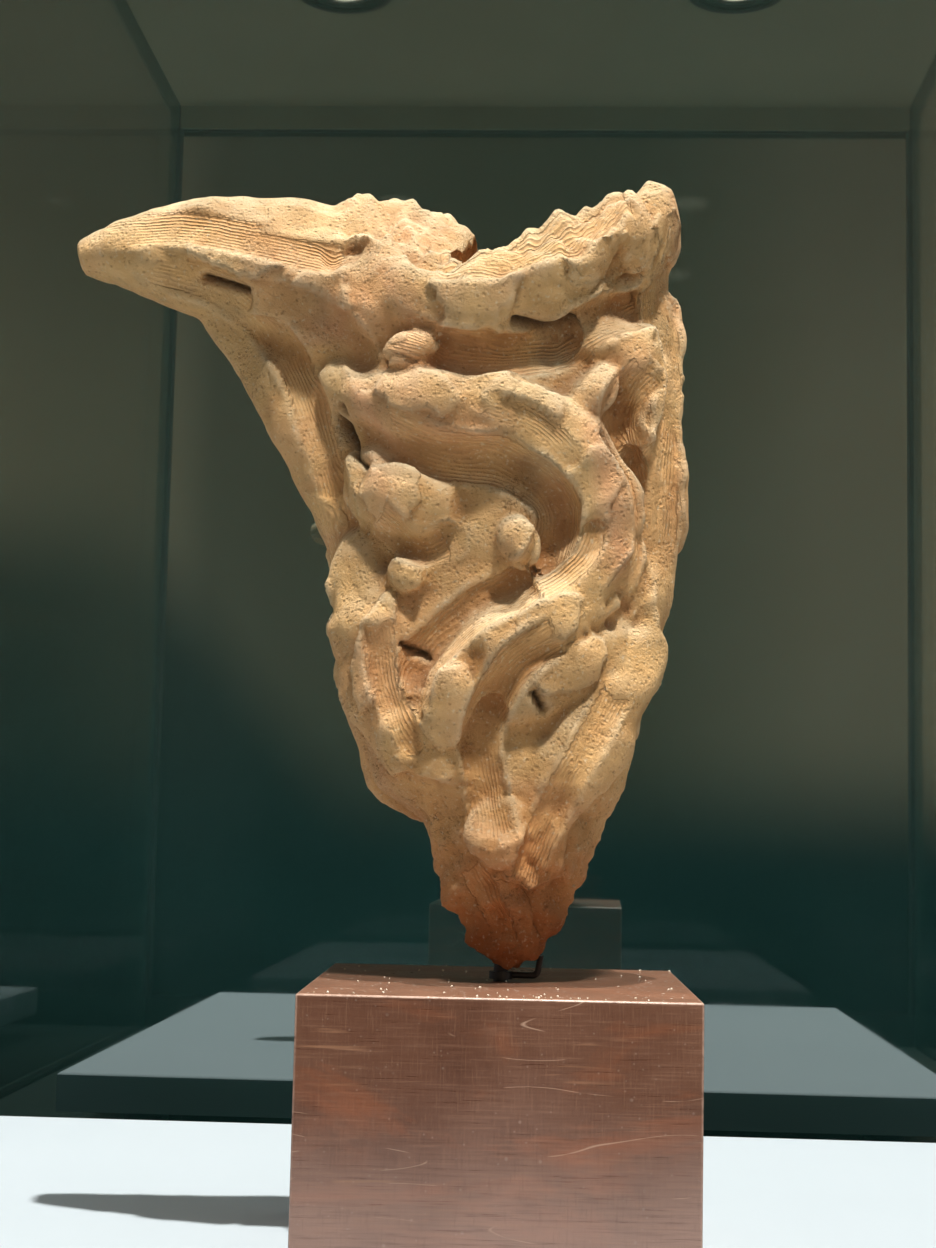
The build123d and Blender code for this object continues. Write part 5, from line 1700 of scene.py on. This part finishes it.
    def trunk(self) -> None:
        """Adds the hollow trunk, with its walls carried up to the broken rim."""
        levels = [(index / self.levels, 0.0) for index in range(self.levels + 1)]
        for index in range(self.cavity_levels + 1):
            thinned = self.wall * (1.0 - self.rim_thinning * (1 - index / self.cavity_levels))
            levels.append((1.0 - index * (1 - self.cavity_share) / self.cavity_levels, thinned))
        levels.append((self.cavity_share - self.cavity_drop, self.cavity_taper * self.wall))
        places = []
        for share, inset in levels:
            section = self.station(share)
            centre = self.foot + Vector((section.shift, 0, share * self.height))
            size = [max(reach - inset, self.thinnest) for reach in (section.width, section.depth)]
            places.append(Matrix.Translation(centre) @ Matrix.Diagonal((*size, 1, 1)))
        self.rough.loft(places, self.ring_sides)
        for vertex in self.rough.mesh.verts:
            share = (vertex.co.z - self.foot.z) / self.height
            if share > self.bend_from:
                section = self.station(share)
                angle = math.atan2((vertex.co.x - self.foot.x - section.shift) / section.width,
                                   -(vertex.co.y - self.foot.y) / section.depth)
                rise = (share - self.bend_from) / (1 - self.bend_from) * (self.rim(angle) - self.bend_from)
                vertex.co.z = self.foot.z + self.height * (self.bend_from + rise)

    def limb_skin(self, route: tuple) -> None:
        """Adds a limb through points of offset, height share and radii.

        Args:
            route: Points of x, y, height share, upright radius and depth radius.
        """
        points = [self.foot + Vector((x, y, share * self.height)) for x, y, share, _, _ in route]
        level = Vector(Axis.Y.value)
        places = []
        for index, (_, _, _, upright, depth) in enumerate(route):
            along = heading(points, index)
            top = along.cross(level).normalized()
            places.append(laid(points[index], level * depth, top * upright, along))
        self.rough.loft(places, self.limb_sides)

    def roll(self, roll: Roll) -> None:
        """Adds one roll of clay along its route.

        Args:
            roll: The roll.
        """
        steps = self.roll_steps * (len(roll.route) - 1)
        spots = []
        for step in range(steps + 1):
            turn, share = along_route(roll.route, step / steps)
            pace = Vector((turn * self.roll_pace[0], share * self.roll_pace[1], 5.0))
            wander = self.roll_wander * noise.noise(pace)
            spots.append(self.on_trunk(turn + wander, share))
        points = [point for point, _ in spots]
        places = []
        for index, (point, outward) in enumerate(spots):
            along = heading(points, index)
            across = along.cross(outward).normalized()
            taper = math.sin(math.pi * (self.roll_taper[0] + self.roll_taper[1] * index / steps)) ** 0.5
            swell = 1 + self.roll_swell * noise.noise(point * self.roll_lumps)
            wide, thick = roll.width / 2 * taper * swell, roll.thickness / 2 * taper * swell
            lap = Matrix.Rotation(roll.lap, 3, along)
            places.append(laid(point, lap @ across * wide, lap @ outward * thick, along))
        self.rough.loft(places, self.roll_sides)

    def pellet(self, pellet: Pellet) -> None:
        """Adds one pressed lump.

        Args:
            pellet: The lump.
        """
        point, outward = self.on_trunk(pellet.turn, pellet.share, pellet.thickness * self.pellet_lift)
        across = Vector(Axis.Z.value).cross(outward).normalized()
        tilt = Matrix.Rotation(pellet.tilt, 4, "Z")
        size = Matrix.Diagonal((pellet.length / 2, pellet.width / 2, pellet.thickness / 2, 1.0))
        place = laid(point, across, outward.cross(across), outward) @ tilt @ size
        bmesh.ops.create_icosphere(self.rough.mesh, subdivisions=3, radius=1.0, matrix=place)

    def merged(self) -> bpy.types.Mesh:
        """Joins the trunk, the limb, the rolls and the lumps into one skin.

        Returns:
            The joined mesh.
        """
        self.rough = Shape()
        self.trunk()
        self.limb_skin(self.limb)
        self.limb_skin(self.web)
        for roll in self.rolls:
            self.roll(roll)
        for pellet in self.pellets:
            self.pellet(pellet)
        rough = self.rough.data("clay_rough", 0.0)
        holder = linked("clay_rough", rough)
        remesh = holder.modifiers.new("skin", "REMESH")
        remesh.mode = "VOXEL"
        remesh.voxel_size = self.voxel
        smooth = holder.modifiers.new("ease", "SMOOTH")
        smooth.factor = 0.5
        smooth.iterations = self.joint_softening
        joined = bpy.data.meshes.new_from_object(holder.evaluated_get(bpy.context.evaluated_depsgraph_get()))
        joined.name = "clay_fragment_skin"
        bpy.data.objects.remove(holder)
        bpy.data.meshes.remove(rough)
        return joined


# ---- Studio ----------------------------------------------------------------
@dataclass
class Studio:
    """The plain pale floor, the soft lights, the showcase's own light and the camera."""

    floor_drop: float = 0.76
    floor_half: float = 9.0
    floor_colour: Colour = shade(232, 232, 230)
    floor_fade: Span = (1.6, 2.7)
    room_white: Colour = (0.94, 0.95, 0.95, 1.0)
    room_light: Colour = (0.96, 0.98, 1.0, 1.0)
    world_level: float = 0.23
    flag_from_case: float = 1.45
    flag_half: Span = (2.2, 2.4)
    flag_dim: Colour = (0.30, 0.215, 0.130, 1.0)
    flag_side: Colour = (0.290, 0.205, 0.125, 1.0)
    soft: tuple = (("studio_key", (-2.4, -1.6, 2.6), 2.0, 115.0),
                   ("studio_fill", (2.8, -1.4, 1.4), 2.4, 75.0),
                   ("studio_back", (-1.6, 2.8, 2.2), 2.2, 100.0))
    lens: float = 54.1
    sensor: float = 36.0
    stand: tuple = (0.0275, -0.772, 0.171)
    heading: float = -0.049
    pitch: float = 0.105
    roll: float = 0.021
    lamp_white: tuple = (1.0, 0.985, 0.955)
    lamp_level: float = 0.6
    lamp_radius: float = 0.02
    lamp_cone: float = math.radians(110)
    lamp_gap: float = 0.004
    key_level: float = 3.38
    key_way: tuple = (0.0206, -0.0721, 0.4026)
    key_softness: float = math.radians(0.8)
    wash_level: float = 3.75
    wash_way: tuple = (0.14, -0.44, 0.89)
    wash_softness: float = math.radians(5)
    lit_by_wash: tuple = ("clay_fragment_skin", "rubbed_block", "mount_pin", "support_claw", "clay_crumbs")
    deck: tuple = ("deck_board", "felt_pads", "recess_floor", "deck_feet")
    panes: tuple = ("ceiling_panel", "back_glass", "side_glass_left", "side_glass_right", "door_glass",
                    "silicone_corner_beads", "back_glass_tape")

    def build(self) -> None:
        """Builds the floor, the flag, the lights and the camera."""
        self.floor()
        self.flag()
        self.world()
        self.soft_lights()
        self.case_lights()
        self.exhibit_light("exhibit_key", self.key_level, self.key_way, self.key_softness,
                           self.lit_by_wash + self.deck)
        self.exhibit_light("exhibit_wash", self.wash_level, self.wash_way, self.wash_softness,
                           self.lit_by_wash)
        self.camera()

    def plane(self, name: str, half: Span, place: Matrix, finish: Graph) -> bpy.types.Object:
        """Adds a flat stage piece.

        Args:
            name: Its name.
            half: Its half width and half height.
            place: Where it lies.
            finish: Its material's nodes.

        Returns:
            The stage piece.
        """
        mesh = bmesh.new()
        size = Matrix.Diagonal((*half, 1.0, 1.0))
        bmesh.ops.create_grid(mesh, x_segments=1, y_segments=1, size=1.0, matrix=place @ size)
        data = bpy.data.meshes.new(name)
        mesh.to_mesh(data)
        mesh.free()
        data.materials.append(finish.material)
        made = linked(name, data)
        return made

    def floor(self) -> None:
        """Lays the pale floor below the case."""
        low = CAD_BOX[0]
        graph = Graph("studio_floor_finish")
        matt = graph.node("BsdfDiffuse", {"Color": self.floor_colour}).outputs[0]
        room = graph.node("Emission", {"Color": self.room_white, "Strength": 1.0}).outputs[0]
        away = graph.node("VectorMath", {0: graph.place}, operation="LENGTH").outputs["Value"]
        faded = graph.times(graph.seen(), graph.level(away, self.floor_fade, (0.0, 1.0), True))
        graph.end(graph.both(faded, matt, room))
        level = Matrix.Translation((0, low[1] / 2, low[2] - self.floor_drop))
        self.plane("studio_floor", (self.floor_half, self.floor_half), level, graph)

    def flag(self) -> None:
        """Hangs the dim cloth that only the glass mirrors, in front of the case."""
        graph = Graph("studio_flag_cloth")
        across, height = graph.part(graph.place, "X"), graph.part(graph.place, "Z")
        tone = graph.ramp(graph.level(across, (-1.1, 0.9), (0.0, 1.0)),
                          (0.05, self.flag_dim), (0.20, self.flag_dim), (0.24, (0.150, 0.104, 0.058, 1.0)),
                          (0.62, (0.105, 0.074, 0.034, 1.0)), (0.80, self.flag_side),
                          (0.875, self.flag_side), (0.90, (0.75, 0.53, 0.32, 1.0)))
        rise = graph.level(across, (-0.85, -0.30), (0.46, 0.0), True)
        above = graph.level(graph.math("SUBTRACT", height, rise), (-0.32, -0.04), (0.0, 1.0), True)
        below = graph.level(height, (0.45, 1.05), (1.0, 0.55), True)
        tone = graph.mix(graph.times(above, below), (0.0, 0.0, 0.0, 1.0), tone)
        graph.end(graph.node("Emission", {"Color": tone, "Strength": 1.0}).outputs[0])
        front = CAD_BOX[0][1] - self.flag_from_case
        upright = Matrix.Translation((-0.1, front, 0.1)) @ Matrix.Rotation(math.pi / 2, 4, "X")
        cloth = self.plane("studio_flag", self.flag_half, upright, graph)
        cloth.visible_camera = False
        cloth.visible_diffuse = False
        cloth.visible_shadow = False
        cloth.visible_transmission = False

    def world(self) -> None:
        """Sets the plain light of the room, and white where the camera looks past the case."""
        world = bpy.data.worlds.new("studio_world")
        bpy.context.scene.world = world
        sky = Tree(world)
        sky.tree.nodes.clear()
        room = sky.node("Background", {"Color": self.room_light, "Strength": self.world_level}).outputs[0]
        white = sky.node("Background", {"Color": self.room_white, "Strength": 1.0}).outputs[0]
        sky.node("OutputWorld", {0: sky.both(sky.seen(), room, white)})

    def soft_lights(self) -> None:
        """Hangs two large soft lights high beside the case and one behind it."""
        centre = (Vector(CAD_BOX[0]) + Vector(CAD_BOX[1])) / 2
        shaded = bpy.data.collections.new("all_but_the_chamber")
        for name in self.lit_by_wash + self.deck + self.panes:
            shaded.objects.link(bpy.data.objects[name])
        for member in shaded.collection_objects:
            member.light_linking.link_state = "EXCLUDE"
        for name, offset, size, power in self.soft:
            data = bpy.data.lights.new(name, "AREA")
            data.shape = "DISK"
            data.size = size
            data.energy = power
            lamp = linked(name, data)
            lamp.location = centre + Vector(offset)
            lamp.rotation_euler = (-Vector(offset)).to_track_quat("-Z", "Y").to_euler()
            lamp.visible_glossy = False
            lamp.light_linking.receiver_collection = shaded

    def case_lights(self) -> None:
        """Lights the showcase from its own four spotlights."""
        target = middle("clay_fragment")
        for number in range(1, 5):
            low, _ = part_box(f"spot_head_{number}")
            centre = middle(f"spot_head_{number}")
            data = bpy.data.lights.new(f"case_light_{number}", "SPOT")
            data.energy = self.lamp_level
            data.color = self.lamp_white
            data.spot_size = self.lamp_cone
            data.spot_blend = 0.7
            data.shadow_soft_size = self.lamp_radius
            glow = Tree(data)
            falloff = glow.node("LightFalloff", {"Strength": 1.0}).outputs["Linear"]
            glow.tree.links.new(falloff, glow.tree.nodes["Emission"].inputs["Strength"])
            lamp = linked(data.name, data)
            lamp.location = (centre.x, centre.y, low[2] - self.lamp_gap)
            aim = Vector((target.x, target.y, CAD_BOX[0][2])) - lamp.location
            lamp.rotation_euler = aim.to_track_quat("-Z", "Y").to_euler()

    def exhibit_light(self, name: str, level: float, way: tuple, softness: float, lit: tuple) -> None:
        """Adds one far lamp of the room that reaches only the exhibit.

        Args:
            name: Its name.
            level: Its strength.
            way: The way from the exhibit to the lamp.
            softness: How wide it looks, in radians.
            lit: The pieces that it lights, which also shade one another.
        """
        data = bpy.data.lights.new(name, "SUN")
        data.energy = level
        data.angle = softness
        data.color = self.lamp_white
        lamp = linked(name, data)
        lamp.rotation_euler = (-Vector(way)).to_track_quat("-Z", "Y").to_euler()
        exhibit = bpy.data.collections.new(name + "_pieces")
        for piece in lit:
            exhibit.objects.link(bpy.data.objects[piece])
        lamp.light_linking.receiver_collection = exhibit
        lamp.light_linking.blocker_collection = exhibit

    def camera(self) -> None:
        """Stands the camera close before the door, a little above the deck."""
        deck = middle("deck_board")
        data = bpy.data.cameras.new("visitor_camera")
        data.lens = self.lens
        data.sensor_width = self.sensor
        data.clip_start = 0.02
        camera = linked("visitor_camera", data)
        forward = Vector((math.sin(self.heading) * math.cos(self.pitch),
                          math.cos(self.heading) * math.cos(self.pitch), math.sin(self.pitch)))
        level_right = Vector((math.cos(self.heading), -math.sin(self.heading), 0))
        level_up = level_right.cross(forward)
        right = level_right * math.cos(self.roll) + level_up * math.sin(self.roll)
        up = level_up * math.cos(self.roll) - level_right * math.sin(self.roll)
        turn = Matrix((right, up, -forward)).transposed()
        place = Vector((deck.x, deck.y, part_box("deck_board")[1][2])) + Vector(self.stand)
        camera.matrix_world = Matrix.Translation(place) @ turn.to_4x4()
        bpy.context.scene.camera = camera


def main() -> None:
    """Builds every sub-assembly, the studio and the camera, in order."""
    logging.basicConfig(level=logging.INFO, format="%(name)s %(message)s")
    for assembly in (WallFixing(), Housings(), Glazing(), Door(), ClimateDrawer(), Lamps(), Plinth(),
                     ClayFragment()):
        LOG.info("%s", type(assembly).__name__)
        assembly.build()
    Studio().build()
    bpy.context.scene.view_settings.view_transform = "Standard"


if __name__ == "__main__":
    main()
